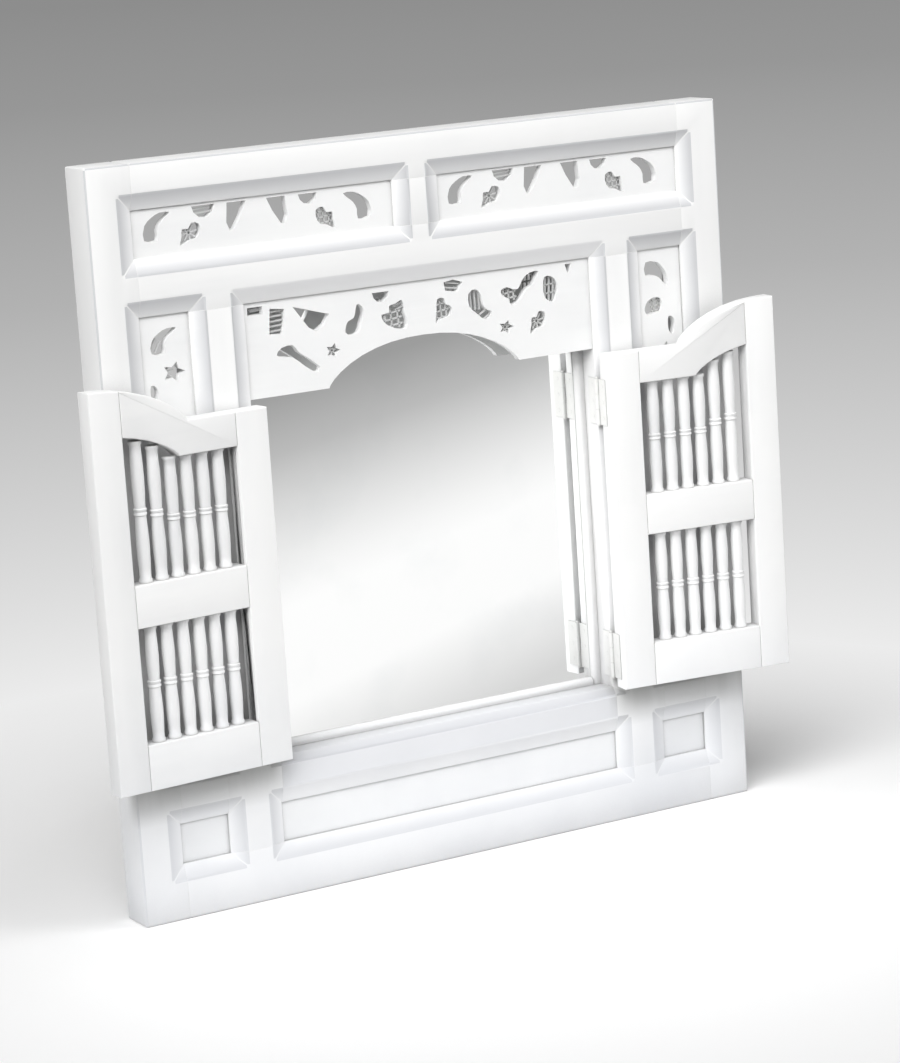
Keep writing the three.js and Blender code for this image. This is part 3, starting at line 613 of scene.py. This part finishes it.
# %% Screws of the hinges, clips and plates
SCREWS_ALONG_LEAF = (-0.021, 0.0, 0.021)
SCREWS_FROM_PIN = 0.0133
JAMB_LEAF_FACE = 0.0002
FIRST_TWIST = {"jamb": 20, "shutter": 65}
HINGE_TWIST, CLIP_TWIST, PLATE_TWIST = 37, 50, 80
SIDE_CLIPS_BEYOND = 0.1
MIRROR_MIDDLE = 0.465
SCREW_FROM_CLIP_MIDDLE = 0.006
SCREW_FROM_PLATE_END = 0.007
hinge_screws, plain_screws = [], []
for side, sign in (("left", 1), ("right", -1)):
    pin = Vector(joints[side + "_shutter"]["pos_m"])
    swings = {"jamb": Matrix(), "shutter": closed_to_open(side)}
    for place in ("lower", "upper"):
        low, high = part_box(f"{side}_{place}_jamb_leaf")
        for i, along in enumerate(SCREWS_ALONG_LEAF):
            height = (low.z + high.z) / 2 + along
            depth = pin.y + SCREWS_FROM_PIN
            for leaf, facing, body in (("jamb", sign, "frame"), ("shutter", -sign, None)):
                spot = (pin.x - facing * JAMB_LEAF_FACE, depth, height)
                twist = FIRST_TWIST[leaf] + HINGE_TWIST * i
                name = f"{side}_{place}_{leaf}_screw_{i + 1}"
                screw = drive_screw(name, spot, (facing, 0, 0), twist, swings[leaf])
                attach(screw, body or side + "_shutter")
                hinge_screws.append(screw)
for i in range(1, 7):
    low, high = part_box(f"backing_clip_{i}")
    centre = (low + high) / 2
    if abs(centre.x) > SIDE_CLIPS_BEYOND:
        outwards = Vector((math.copysign(1, centre.x), 0, 0))
    else:
        outwards = Vector((0, 0, math.copysign(1, centre.z - MIRROR_MIDDLE)))
    spot = Vector((centre.x, high.y, centre.z)) + outwards * SCREW_FROM_CLIP_MIDDLE
    plain_screws.append(drive_screw(f"clip_screw_{i}", spot, (0, 1, 0), CLIP_TWIST * i))
for side in ("left", "right"):
    low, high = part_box("hanging_plate_" + side)
    for i, height in enumerate((low.z + SCREW_FROM_PLATE_END, high.z - SCREW_FROM_PLATE_END)):
        spot = ((low.x + high.x) / 2, high.y, height)
        name = f"{side}_plate_screw_{i + 1}"
        plain_screws.append(drive_screw(name, spot, (0, 1, 0), 30 + PLATE_TWIST * i))
for screw in plain_screws:
    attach(screw, "frame")
bpy.data.objects.remove(pattern_screw)
print("screws:", len(hinge_screws), "in the hinges and", len(plain_screws), "on the back")

# %% [markdown]
# ## Paint
# The wood was painted with white emulsion and rubbed back a little by hand. Seen close, such paint
# is not one white: it shows the strokes of the brush along each member, greys where dust and hands
# have reached, and wears through a little on the arrises. The same shader group also paints shade:
# a darker tone in the corners, a deeper grey where the shutters and deep openings overhang, a
# shadow band under each shutter and a grey that deepens towards the foot. It mixes these effects
# in object coordinates, so that they keep their size and place on every piece.

# %% Node helpers
def new_group(name, inputs, outputs):
    group = bpy.data.node_groups.new(name, "ShaderNodeTree")
    for sockets, way in ((inputs, "INPUT"), (outputs, "OUTPUT")):
        for socket, kind in sockets:
            group.interface.new_socket(
                name=socket, in_out=way, socket_type="NodeSocket" + kind)
    return group, group.nodes.new("NodeGroupInput"), group.nodes.new("NodeGroupOutput")


def add_node(tree, kind, **settings):
    node = tree.nodes.new(kind)
    for name, value in settings.items():
        setattr(node, name, value)
    return node


def plug(tree, value, socket):
    """Links a socket, or sets a plain value."""
    if isinstance(value, bpy.types.NodeSocket):
        tree.links.new(value, socket)
    else:
        socket.default_value = value


def noise(tree, vector, scale, detail):
    texture = add_node(tree, "ShaderNodeTexNoise")
    texture.inputs["Scale"].default_value = scale
    texture.inputs["Detail"].default_value = detail
    tree.links.new(vector, texture.inputs["Vector"])
    return texture.outputs[0]


def stretched(tree, vector, scale):
    mapping = add_node(tree, "ShaderNodeMapping")
    tree.links.new(vector, mapping.inputs["Vector"])
    plug(tree, scale, mapping.inputs["Scale"])
    return mapping.outputs["Vector"]


def remap(tree, value, low, high, to_low=0.0, to_high=1.0):
    node = add_node(tree, "ShaderNodeMapRange")
    for end, setting in (("From Min", low), ("From Max", high),
                         ("To Min", to_low), ("To Max", to_high)):
        node.inputs[end].default_value = setting
    tree.links.new(value, node.inputs["Value"])
    return node.outputs["Result"]


def combine(tree, operation, first, second):
    node = add_node(tree, "ShaderNodeMath", operation=operation)
    plug(tree, first, node.inputs[0])
    plug(tree, second, node.inputs[1])
    return node.outputs["Value"]


def mix_colours(tree, factor, first, second):
    node = add_node(tree, "ShaderNodeMix", data_type="RGBA")
    plug(tree, factor, node.inputs["Factor"])
    plug(tree, first, node.inputs[6])
    plug(tree, second, node.inputs[7])
    return node.outputs[2]


# %% Worn paint and painted shade group
FOOT_SHADE_COLOUR = (0.6, 0.612, 0.64, 1)
CORNER_SHADE_COLOUR = (0.36, 0.355, 0.34, 1)
SHELTER_SHADE_COLOUR = (0.42, 0.42, 0.425, 1)
SHUTTER_SHADOW_COLOUR = (0.27, 0.27, 0.255, 1)
BARE_COLOUR = (0.66, 0.62, 0.56, 1)
FOOT_SHADE_TOP = 0.34
CORNER_SHADE_REACH = 0.007
SHELTER_SHADE_REACH = 0.075
ARRIS_WIDTH = 0.0012
SHUTTER_SHADOW_FADE_BELOW = (0.125, 0.186)
SHUTTER_SHADOW_FADE_ABOVE = (0.3, 0.19)
SHUTTER_SHADOW_FADE_INWARDS = (0.235, 0.262)
SHUTTER_SHADOW_FADE_BACK = (0.0, -0.018)

paint_group, paint_in, paint_out = new_group(
    "worn_paint_and_painted_shade",
    [("Paint", "Color"), ("Dust", "Color"), ("Dust Amount", "Float"), ("Corner Shade", "Float"),
     ("Bare Amount", "Float"), ("Shelter Shade", "Float"), ("Foot Shade", "Float"),
     ("Shutter Shadow", "Float"), ("Roughness", "Float"), ("Stroke", "Vector")],
    [("Color", "Color"), ("Roughness", "Float"), ("Height", "Float")])
place = add_node(paint_group, "ShaderNodeTexCoord").outputs["Object"]
along = stretched(paint_group, place, paint_in.outputs["Stroke"])
clouds = noise(paint_group, place, 5, 4)
smears = noise(paint_group, along, 30, 5)
bristles = noise(paint_group, along, 420, 3)
speckle = noise(paint_group, place, 900, 2)

# Dust in patches, streaked along the strokes.
patches = combine(paint_group, "MULTIPLY", remap(paint_group, clouds, 0.42, 0.66),
                  remap(paint_group, smears, 0.38, 0.68))
patches = combine(paint_group, "MULTIPLY", patches, paint_in.outputs["Dust Amount"])
colour = mix_colours(paint_group, patches, paint_in.outputs["Paint"], paint_in.outputs["Dust"])

# Painted shade: a grey that deepens towards the foot of the frame, where the light falls off.
upright = add_node(paint_group, "ShaderNodeSeparateXYZ")
paint_group.links.new(place, upright.inputs["Vector"])
foot = remap(paint_group, upright.outputs["Z"], 0.0, FOOT_SHADE_TOP, 1, 0)
foot = combine(paint_group, "MULTIPLY", foot, remap(paint_group, clouds, 0.3, 0.7, 0.6, 1))
foot = combine(paint_group, "MULTIPLY", foot, paint_in.outputs["Foot Shade"])
colour = mix_colours(paint_group, foot, colour, FOOT_SHADE_COLOUR)

# Painted shade in the corners and recesses, found by how much of the surroundings a spot can see.
corners = add_node(paint_group, "ShaderNodeAmbientOcclusion", samples=6)
corners.inputs["Distance"].default_value = CORNER_SHADE_REACH
corner_shade_mask = remap(paint_group, corners.outputs["AO"], 0.3, 0.85, 1, 0)
corner_shade_mask = combine(paint_group, "MULTIPLY", corner_shade_mask, paint_in.outputs["Corner Shade"])
colour = mix_colours(paint_group, corner_shade_mask, colour, CORNER_SHADE_COLOUR)

# Painted shade, a deeper grey where the shutters and the deep openings hide a spot from the light.
shelter = add_node(paint_group, "ShaderNodeAmbientOcclusion", samples=6)
shelter.inputs["Distance"].default_value = SHELTER_SHADE_REACH
shelter_shade_mask = remap(paint_group, shelter.outputs["AO"], 0.3, 0.78, 1, 0)
shelter_shade_mask = combine(paint_group, "MULTIPLY", shelter_shade_mask, paint_in.outputs["Shelter Shade"])
colour = mix_colours(paint_group, shelter_shade_mask, colour, SHELTER_SHADE_COLOUR)

# A painted shadow of each shutter, on the band of the frame just under it.
shutter_shadow_mask = remap(paint_group, upright.outputs["Z"], *SHUTTER_SHADOW_FADE_BELOW)
aside = combine(paint_group, "ABSOLUTE", upright.outputs["X"], 0.0)
for limit in (remap(paint_group, upright.outputs["Z"], *SHUTTER_SHADOW_FADE_ABOVE),
              remap(paint_group, aside, *SHUTTER_SHADOW_FADE_INWARDS),
              remap(paint_group, upright.outputs["Y"], *SHUTTER_SHADOW_FADE_BACK),
              remap(paint_group, smears, 0.3, 0.62, 0.75, 1),
              paint_in.outputs["Shutter Shadow"]):
    shutter_shadow_mask = combine(paint_group, "MULTIPLY", shutter_shadow_mask, limit)
colour = mix_colours(paint_group, shutter_shadow_mask, colour, SHUTTER_SHADOW_COLOUR)

# Wear on the arrises, found by comparing the surface with a rounded one.
rounded = add_node(paint_group, "ShaderNodeBevel", samples=4)
rounded.inputs["Radius"].default_value = ARRIS_WIDTH
surface = add_node(paint_group, "ShaderNodeNewGeometry")
agreement = add_node(paint_group, "ShaderNodeVectorMath", operation="DOT_PRODUCT")
paint_group.links.new(rounded.outputs["Normal"], agreement.inputs[0])
paint_group.links.new(surface.outputs["Normal"], agreement.inputs[1])
arris = remap(paint_group, agreement.outputs["Value"], 0.96, 0.8, 0, 1)
arris = combine(paint_group, "MULTIPLY", arris, remap(paint_group, smears, 0.46, 0.58))
arris = combine(paint_group, "MULTIPLY", arris, paint_in.outputs["Bare Amount"])
colour = mix_colours(paint_group, arris, colour, BARE_COLOUR)
paint_group.links.new(colour, paint_out.inputs["Color"])

rough = combine(paint_group, "ADD", paint_in.outputs["Roughness"],
                remap(paint_group, smears, 0.3, 0.7, -0.07, 0.09))
paint_group.links.new(rough, paint_out.inputs["Roughness"])
height = combine(paint_group, "ADD", remap(paint_group, bristles, 0.2, 0.8, 0, 0.75),
                 remap(paint_group, speckle, 0.2, 0.8, 0, 0.25))
paint_group.links.new(height, paint_out.inputs["Height"])
print("paint group nodes:", len(paint_group.nodes))

# %% Painted finishes
UPRIGHT_STROKE = (1, 1, 0.08)
LEVEL_STROKE = (0.08, 1, 1)
DUST_COLOUR = (0.64, 0.65, 0.67, 1)
FOOT_SHADE = 0.9
PAINT_RELIEF = 0.00012


def painted_finish(name, paint, stroke, dust_amount=0.22, corner_shade=0.5, bare_amount=0.35,
                   shelter_shade=0.6, shutter_shadow=0.9, roughness=0.6):
    """White paint on wood with painted shade; paint is a colour or a function that makes one in
    the material.
    """
    material = bpy.data.materials.new(name)
    material.use_nodes = True
    tree = material.node_tree
    shader = tree.nodes["Principled BSDF"]
    group = add_node(tree, "ShaderNodeGroup")
    group.node_tree = paint_group
    plug(tree, paint(tree) if callable(paint) else (*paint, 1), group.inputs["Paint"])
    for socket, value in (
            ("Dust", DUST_COLOUR), ("Dust Amount", dust_amount), ("Corner Shade", corner_shade),
            ("Bare Amount", bare_amount), ("Shelter Shade", shelter_shade),
            ("Foot Shade", FOOT_SHADE), ("Shutter Shadow", shutter_shadow), ("Roughness", roughness),
            ("Stroke", stroke)):
        group.inputs[socket].default_value = value
    bump = add_node(tree, "ShaderNodeBump")
    bump.inputs["Distance"].default_value = PAINT_RELIEF
    bump.inputs["Strength"].default_value = 0.6
    tree.links.new(group.outputs["Height"], bump.inputs["Height"])
    tree.links.new(group.outputs["Color"], shader.inputs["Base Color"])
    tree.links.new(group.outputs["Roughness"], shader.inputs["Roughness"])
    tree.links.new(bump.outputs["Normal"], shader.inputs["Normal"])
    shader.inputs["Specular IOR Level"].default_value = 0.35
    return material


# Each paint takes its own share of painted shade: in the corners, where the shutters overhang and
# in the band under them.
WHITE = (0.90, 0.90, 0.895)
stile_paint = painted_finish("stile_paint", WHITE, UPRIGHT_STROKE)
rail_paint = painted_finish("rail_paint", WHITE, LEVEL_STROKE)
panel_paint = painted_finish(
    "panel_paint", (0.92, 0.923, 0.92), LEVEL_STROKE, corner_shade=0.05, shelter_shade=0.05)
low_panel_paint = painted_finish(
    "low_panel_paint", (0.9, 0.905, 0.9), LEVEL_STROKE, corner_shade=0.3, shelter_shade=0.85)
shutter_stile_paint = painted_finish(
    "shutter_stile_paint", WHITE, UPRIGHT_STROKE, shelter_shade=0.3, shutter_shadow=0.0)
shutter_rail_paint = painted_finish(
    "shutter_rail_paint", WHITE, LEVEL_STROKE, shelter_shade=0.3, shutter_shadow=0.0)
# The veins are a mid grey: painted shade for their place deep in the openings.
shaded_vein_paint = painted_finish(
    "shaded_vein_paint", (0.55, 0.555, 0.55), LEVEL_STROKE, dust_amount=0.6, corner_shade=0.1,
    shelter_shade=0.0)
# The sill rail is a bluish grey: painted shade for the low rail under the mirror.
shaded_sill_paint = painted_finish("shaded_sill_paint", (0.76, 0.765, 0.785), LEVEL_STROKE)
spindle_paint = painted_finish(
    "spindle_paint", (0.87, 0.872, 0.87), UPRIGHT_STROKE, dust_amount=0.5, corner_shade=0.75,
    shelter_shade=0.3, shutter_shadow=0.0)


def finish_with(obj, *materials):
    obj.data.materials.clear()
    for material in materials:
        obj.data.materials.append(material)


def paint_for(piece):
    upright_member = "stile" in piece.name or "mullion" in piece.name
    if "shutter" in piece.name:
        return shutter_stile_paint if upright_member else shutter_rail_paint
    if "sill" in piece.name:
        return shaded_sill_paint
    return stile_paint if upright_member else rail_paint


for piece in painted:
    finish_with(piece, paint_for(piece))
for node, piece in panels.items():
    finish_with(piece, low_panel_paint if node.startswith("bottom") else panel_paint)
for piece in traceries:
    finish_with(piece, shaded_vein_paint)
for piece in spindles:
    finish_with(piece, spindle_paint)
print("painted pieces:", len(painted) + len(panels) + len(spindles))

# %% [markdown]
# ### Splays with painted shade
# The sloping edges round the openings are painted greyer than the flat faces: this is painted
# shade, deepest at the outer shoulder and fading towards the foot. The sill's upward faces take
# the greyest of it, and the splays that face down under the sill and over the arch a paler one.
# The
# faces are picked by the way they lean: partly forward, partly into the opening.

# %% Splays with painted shade
SPLAY_SHADE_TONES = {
    "shaded_splay_paint": ((0.62, 0.625, 0.64, 1), (0.97, 0.972, 0.975, 1)),
    "pale_shaded_splay_paint": ((0.82, 0.822, 0.83, 1), (0.98, 0.98, 0.98, 1)),
    "sill_shaded_splay_paint": ((0.56, 0.565, 0.59, 1), (0.66, 0.665, 0.68, 1)),
}


def shaded_slope(at_shoulder, at_foot):
    """Painted shade that goes from grey at a splay's shoulder to near white at its foot."""
    def paint(tree):
        spot = add_node(tree, "ShaderNodeTexCoord").outputs["Object"]
        depth = add_node(tree, "ShaderNodeSeparateXYZ")
        tree.links.new(spot, depth.inputs["Vector"])
        down = remap(tree, depth.outputs["Y"], FRAME_FRONT + 0.001, FRAME_FRONT + SPLAY_DEPTH)
        return mix_colours(tree, down, at_shoulder, at_foot)
    return paint


shaded_splay_paints = [
    painted_finish(
        name, shaded_slope(*tones), LEVEL_STROKE, bare_amount=0.0,
        dust_amount=0.0 if "pale" in name else 0.3, corner_shade=0.1 if "pale" in name else 0.5,
        shelter_shade=0.0 if "pale" in name else 0.6)
    for name, tones in SPLAY_SHADE_TONES.items()]
SPLAY_SLOT, PALE_SLOT, SILL_SLOT = 1, 2, 3
ARCH_OPENING_HALF = 0.265
SMALLEST_SPLAY = 0.00002


def splay_slot(piece, face):
    """Which of the splay paints a face gets: pale under the wide rails, greyest on the sill."""
    faces_down = face.normal.z < -0.1
    over_the_arch = abs(face.center.x) < ARCH_OPENING_HALF
    if "sill" in piece.name:
        return PALE_SLOT if faces_down else SILL_SLOT
    if "upper_rail" in piece.name and faces_down and over_the_arch:
        return PALE_SLOT
    return SPLAY_SLOT


def leans(normal):
    return -0.985 < normal.y < -0.7


splay_faces = 0
for piece in painted[:len(FRAME_MEMBERS)]:
    finish_with(piece, paint_for(piece), *shaded_splay_paints)
    for face in piece.data.polygons:
        if leans(face.normal) and face.center.y < FRAME_FRONT + SPLAY_DEPTH + 0.0005:
            if face.area > SMALLEST_SPLAY:
                face.material_index = splay_slot(piece, face)
                splay_faces += 1
        elif "sill" in piece.name and face.normal.z > 0.7:
            face.material_index = SILL_SLOT
print("splay faces:", splay_faces)

# %% [markdown]
# ## Mirror glass, back board and metal
# The mirror is a silvered sheet: a metal-like reflection with almost no roughness and only a hint
# of unevenness. The board behind it is bare hardboard with a fine speckle. The hinges were painted
# over with the frame, and clips and hanging plates are plain zinc-plated steel.

# %% Mirror glass
def plain_material(name, colour, roughness, metallic=0.0):
    material = bpy.data.materials.new(name)
    material.use_nodes = True
    shader = material.node_tree.nodes["Principled BSDF"]
    shader.inputs["Base Color"].default_value = (*colour, 1)
    shader.inputs["Roughness"].default_value = roughness
    shader.inputs["Metallic"].default_value = metallic
    return material, material.node_tree, shader


silvered, silver_tree, silver = plain_material("silvered_glass", (0.93, 0.94, 0.94), 0.015, 1.0)
silver_place = add_node(silver_tree, "ShaderNodeTexCoord").outputs["Object"]
haze = noise(silver_tree, silver_place, 9, 4)
haze_amount = remap(silver_tree, haze, 0.45, 0.75, 0.01, 0.05)
silver_tree.links.new(haze_amount, silver.inputs["Roughness"])
tarnish = remap(silver_tree, haze, 0.5, 0.8)
silver_colour = mix_colours(
    silver_tree, tarnish, (0.985, 0.988, 0.985, 1), (0.93, 0.94, 0.94, 1))
silver_tree.links.new(silver_colour, silver.inputs["Base Color"])

finish_with(frame["nodes"]["mirror_glass"], silvered)
for bead in ("left", "right", "bottom", "top"):
    finish_with(frame["nodes"]["mirror_bead_" + bead], rail_paint)

# %% Back board and metal
hardboard, board_tree, board_shader = plain_material("hardboard", (0.42, 0.29, 0.17), 0.8)
board_place = add_node(board_tree, "ShaderNodeTexCoord").outputs["Object"]
fibres = noise(board_tree, board_place, 420, 5)
fibre_colour = mix_colours(board_tree, remap(board_tree, fibres, 0.35, 0.68),
                           (0.36, 0.24, 0.13, 1), (0.52, 0.38, 0.23, 1))
board_tree.links.new(fibre_colour, board_shader.inputs["Base Color"])
board_bump = add_node(board_tree, "ShaderNodeBump")
board_bump.inputs["Distance"].default_value = 0.0002
board_tree.links.new(fibres, board_bump.inputs["Height"])
board_tree.links.new(board_bump.outputs["Normal"], board_shader.inputs["Normal"])
finish_with(frame["nodes"]["backing_board"], hardboard)

zinc, zinc_tree, zinc_shader = plain_material("zinc_plate", (0.62, 0.63, 0.64), 0.35, 1.0)
zinc_place = add_node(zinc_tree, "ShaderNodeTexCoord").outputs["Object"]
brushed = noise(zinc_tree, stretched(zinc_tree, zinc_place, (0.05, 1, 1)), 600, 3)
zinc_tree.links.new(
    remap(zinc_tree, brushed, 0.3, 0.7, 0.28, 0.48), zinc_shader.inputs["Roughness"])
zinc_colour = mix_colours(zinc_tree, remap(zinc_tree, brushed, 0.3, 0.75),
                          (0.6, 0.61, 0.62, 1), (0.72, 0.72, 0.7, 1))
zinc_tree.links.new(zinc_colour, zinc_shader.inputs["Base Color"])

hinge_paint = painted_finish(
    "hinge_paint", (0.85, 0.85, 0.83), UPRIGHT_STROKE, dust_amount=0.4, roughness=0.45)
for name, node in frame["nodes"].items():
    if name.startswith(("backing_clip", "hanging_plate")):
        finish_with(node, zinc)
    if name.endswith(("_leaf", "_hinge_pin")):
        finish_with(node, hinge_paint)
for screw in hinge_screws:
    finish_with(screw, hinge_paint)
for screw in plain_screws:
    finish_with(screw, zinc)
print("back and metal finished")

# %% [markdown]
# ## Studio
# The mirror was photographed on a pale sweep that is white around it and greys into the distance.
# A very large flat floor does that from every side: its colour depends on the distance from the
# object. Close by, the lamps light it, so it keeps the object's soft shadow; further out, for the
# camera, it shines by itself, so it stays even. What the mirror shows is the floor in front of it,
# white a little way out and grey further off; polished surfaces see that tone instead.

# %% Floor
FLOOR_REACH = 60
NEAR, FAR = -0.25, 1.6
MIRROR_LOOKS = (-0.54, -0.84, 0)
REFLECTED_REACH = 5.0
LIT_WITHIN, GLOWS_BEYOND = 0.56, 1.2

bpy.ops.mesh.primitive_circle_add(vertices=96, radius=FLOOR_REACH, fill_type="NGON")
floor = bpy.context.object
floor.name = "studio_floor"
floor_material = bpy.data.materials.new("pale_floor")
floor_material.use_nodes = True
floor_tree = floor_material.node_tree
floor_tree.nodes.clear()
floor_place = add_node(floor_tree, "ShaderNodeNewGeometry")


def ramp(tree, factor, stops):
    """A colour ramp of greys: stops are (place, brightness)."""
    node = add_node(tree, "ShaderNodeValToRGB")
    elements = node.color_ramp.elements
    while len(elements) > 1:
        elements.remove(elements[-1])
    elements[0].position = stops[0][0]
    elements[0].color = (*[stops[0][1]] * 3, 1)
    for place, value in stops[1:]:
        element = elements.new(place)
        element.color = (value, value, value, 1)
    tree.links.new(factor, node.inputs["Fac"])
    return node.outputs["Color"]


def vector_math(tree, operation, first, second=None):
    node = add_node(tree, "ShaderNodeVectorMath", operation=operation)
    tree.links.new(first, node.inputs[0])
    if second is not None:
        node.inputs[1].default_value = second
    return node


# The floor's tone by distance, on a logarithmic scale: white at the object, grey far away.
position = floor_place.outputs["Position"]
distance = vector_math(floor_tree, "LENGTH", position).outputs["Value"]
spread = combine(floor_tree, "LOGARITHM", combine(floor_tree, "MAXIMUM", distance, 0.1), 10)
sweep_tones = ((0.6, 1.0), (2.3, 0.685), (6.1, 0.446), (15, 0.309), (29, 0.267))
sweep = ramp(floor_tree, remap(floor_tree, spread, NEAR, FAR), [
    ((math.log10(metres) - NEAR) / (FAR - NEAR), tone) for metres, tone in sweep_tones])

# The tone the mirror shows, by distance along the way it looks.
slant = vector_math(floor_tree, "DOT_PRODUCT", position, MIRROR_LOOKS).outputs["Value"]
mirror_tones = ((0.27, 0.68), (0.58, 0.992), (0.93, 1.0), (1.06, 0.934), (1.73, 0.504),
                (2.2, 0.343), (3.5, 0.255))
reflected = ramp(floor_tree, remap(floor_tree, slant, 0.0, REFLECTED_REACH), [
    (metres / REFLECTED_REACH, tone) for metres, tone in mirror_tones])

# Lit near the object, shining by itself further out.
lit_share = remap(floor_tree, distance, LIT_WITHIN, GLOWS_BEYOND, 1.0, 0.0)
own_share = combine(floor_tree, "SUBTRACT", 1.0, lit_share)
lit = add_node(floor_tree, "ShaderNodeBsdfDiffuse")
lit_colour = vector_math(floor_tree, "SCALE", sweep)
floor_tree.links.new(lit_share, lit_colour.inputs["Scale"])
floor_tree.links.new(lit_colour.outputs["Vector"], lit.inputs["Color"])
glow = add_node(floor_tree, "ShaderNodeEmission")
floor_tree.links.new(sweep, glow.inputs["Color"])
ray = add_node(floor_tree, "ShaderNodeLightPath")
floor_tree.links.new(
    combine(floor_tree, "MULTIPLY", ray.outputs["Is Camera Ray"], own_share),
    glow.inputs["Strength"])
seen = add_node(floor_tree, "ShaderNodeAddShader")
floor_tree.links.new(lit.outputs["BSDF"], seen.inputs[0])
floor_tree.links.new(glow.outputs["Emission"], seen.inputs[1])
mirrored = add_node(floor_tree, "ShaderNodeEmission")
floor_tree.links.new(reflected, mirrored.inputs["Color"])
mirrored.inputs["Strength"].default_value = 1.0
choice = add_node(floor_tree, "ShaderNodeMixShader")
floor_tree.links.new(ray.outputs["Is Glossy Ray"], choice.inputs["Fac"])
floor_tree.links.new(seen.outputs["Shader"], choice.inputs[1])
floor_tree.links.new(mirrored.outputs["Emission"], choice.inputs[2])
floor_output = add_node(floor_tree, "ShaderNodeOutputMaterial")
floor_tree.links.new(choice.outputs["Shader"], floor_output.inputs["Surface"])
finish_with(floor, floor_material)
print("floor reaches", FLOOR_REACH, "m")

# %% [markdown]
# ## Light
# The left side of the frame is nearly as bright as its front, and soft shadows lie on the floor on
# both sides, so the light is that of a white room: a tall window on the left, white walls on both
# sides, and two lamps high in front that make the top a little brighter than the foot. A faint
# light from the rear wall lets the back be seen.

# %% Light
MIDDLE_OF_MIRROR = (0, 0, 0.45)
WORLD_LIGHT, WORLD_SEEN = 0.05, 0.26


def add_sun(name, strength, azimuth, elevation, spread_angle):
    """A sun shining from an azimuth (0 is straight in front, negative from the left)."""
    bpy.ops.object.light_add(type="SUN", location=(0, 0, 3))
    sun = bpy.context.object
    sun.name = name
    sun.data.energy = strength
    sun.data.angle = math.radians(spread_angle)
    a, e = math.radians(azimuth), math.radians(elevation)
    towards = Vector((math.sin(a) * math.cos(e), -math.cos(a) * math.cos(e), math.sin(e)))
    sun.rotation_euler = towards.to_track_quat("Z", "Y").to_euler()


add_sun("left_window", 1.65, -44, 48, 40)
add_sun("left_wall", 1.25, -72, 17, 36)
add_sun("right_wall", 0.95, 58, 15, 36)
add_sun("rear_wall", 0.65, 178, 5, 40)


def add_lamp(name, power, place, size):
    """A square lamp that faces the middle of the mirror."""
    bpy.ops.object.light_add(type="AREA", location=place)
    lamp = bpy.context.object
    lamp.name = name
    lamp.data.shape = "SQUARE"
    lamp.data.size = size
    lamp.data.energy = power
    towards = Vector(place) - Vector(MIDDLE_OF_MIRROR)
    lamp.rotation_euler = towards.to_track_quat("Z", "Y").to_euler()


add_lamp("high_left_lamp", 13.5, (-1.2, -1.5, 2.0), 1.2)
add_lamp("high_right_lamp", 13.5, (0.9, -1.5, 2.0), 1.2)
world = bpy.data.worlds.new("studio_world")
bpy.context.scene.world = world
world.use_nodes = True
world_tree = world.node_tree
background = world_tree.nodes["Background"]
background.inputs["Color"].default_value = (0.97, 0.98, 1.0, 1)
world_ray = add_node(world_tree, "ShaderNodeLightPath")
direct_look = combine(world_tree, "MAXIMUM", world_ray.outputs["Is Camera Ray"],
                      world_ray.outputs["Is Glossy Ray"])
world_tree.links.new(remap(world_tree, direct_look, 0, 1, WORLD_LIGHT, WORLD_SEEN),
                     background.inputs["Strength"])

# %% [markdown]
# ## Last settings
# The picture is shown as rendered, without a film look.

# %% Finish
bpy.context.scene.view_settings.view_transform = "Standard"
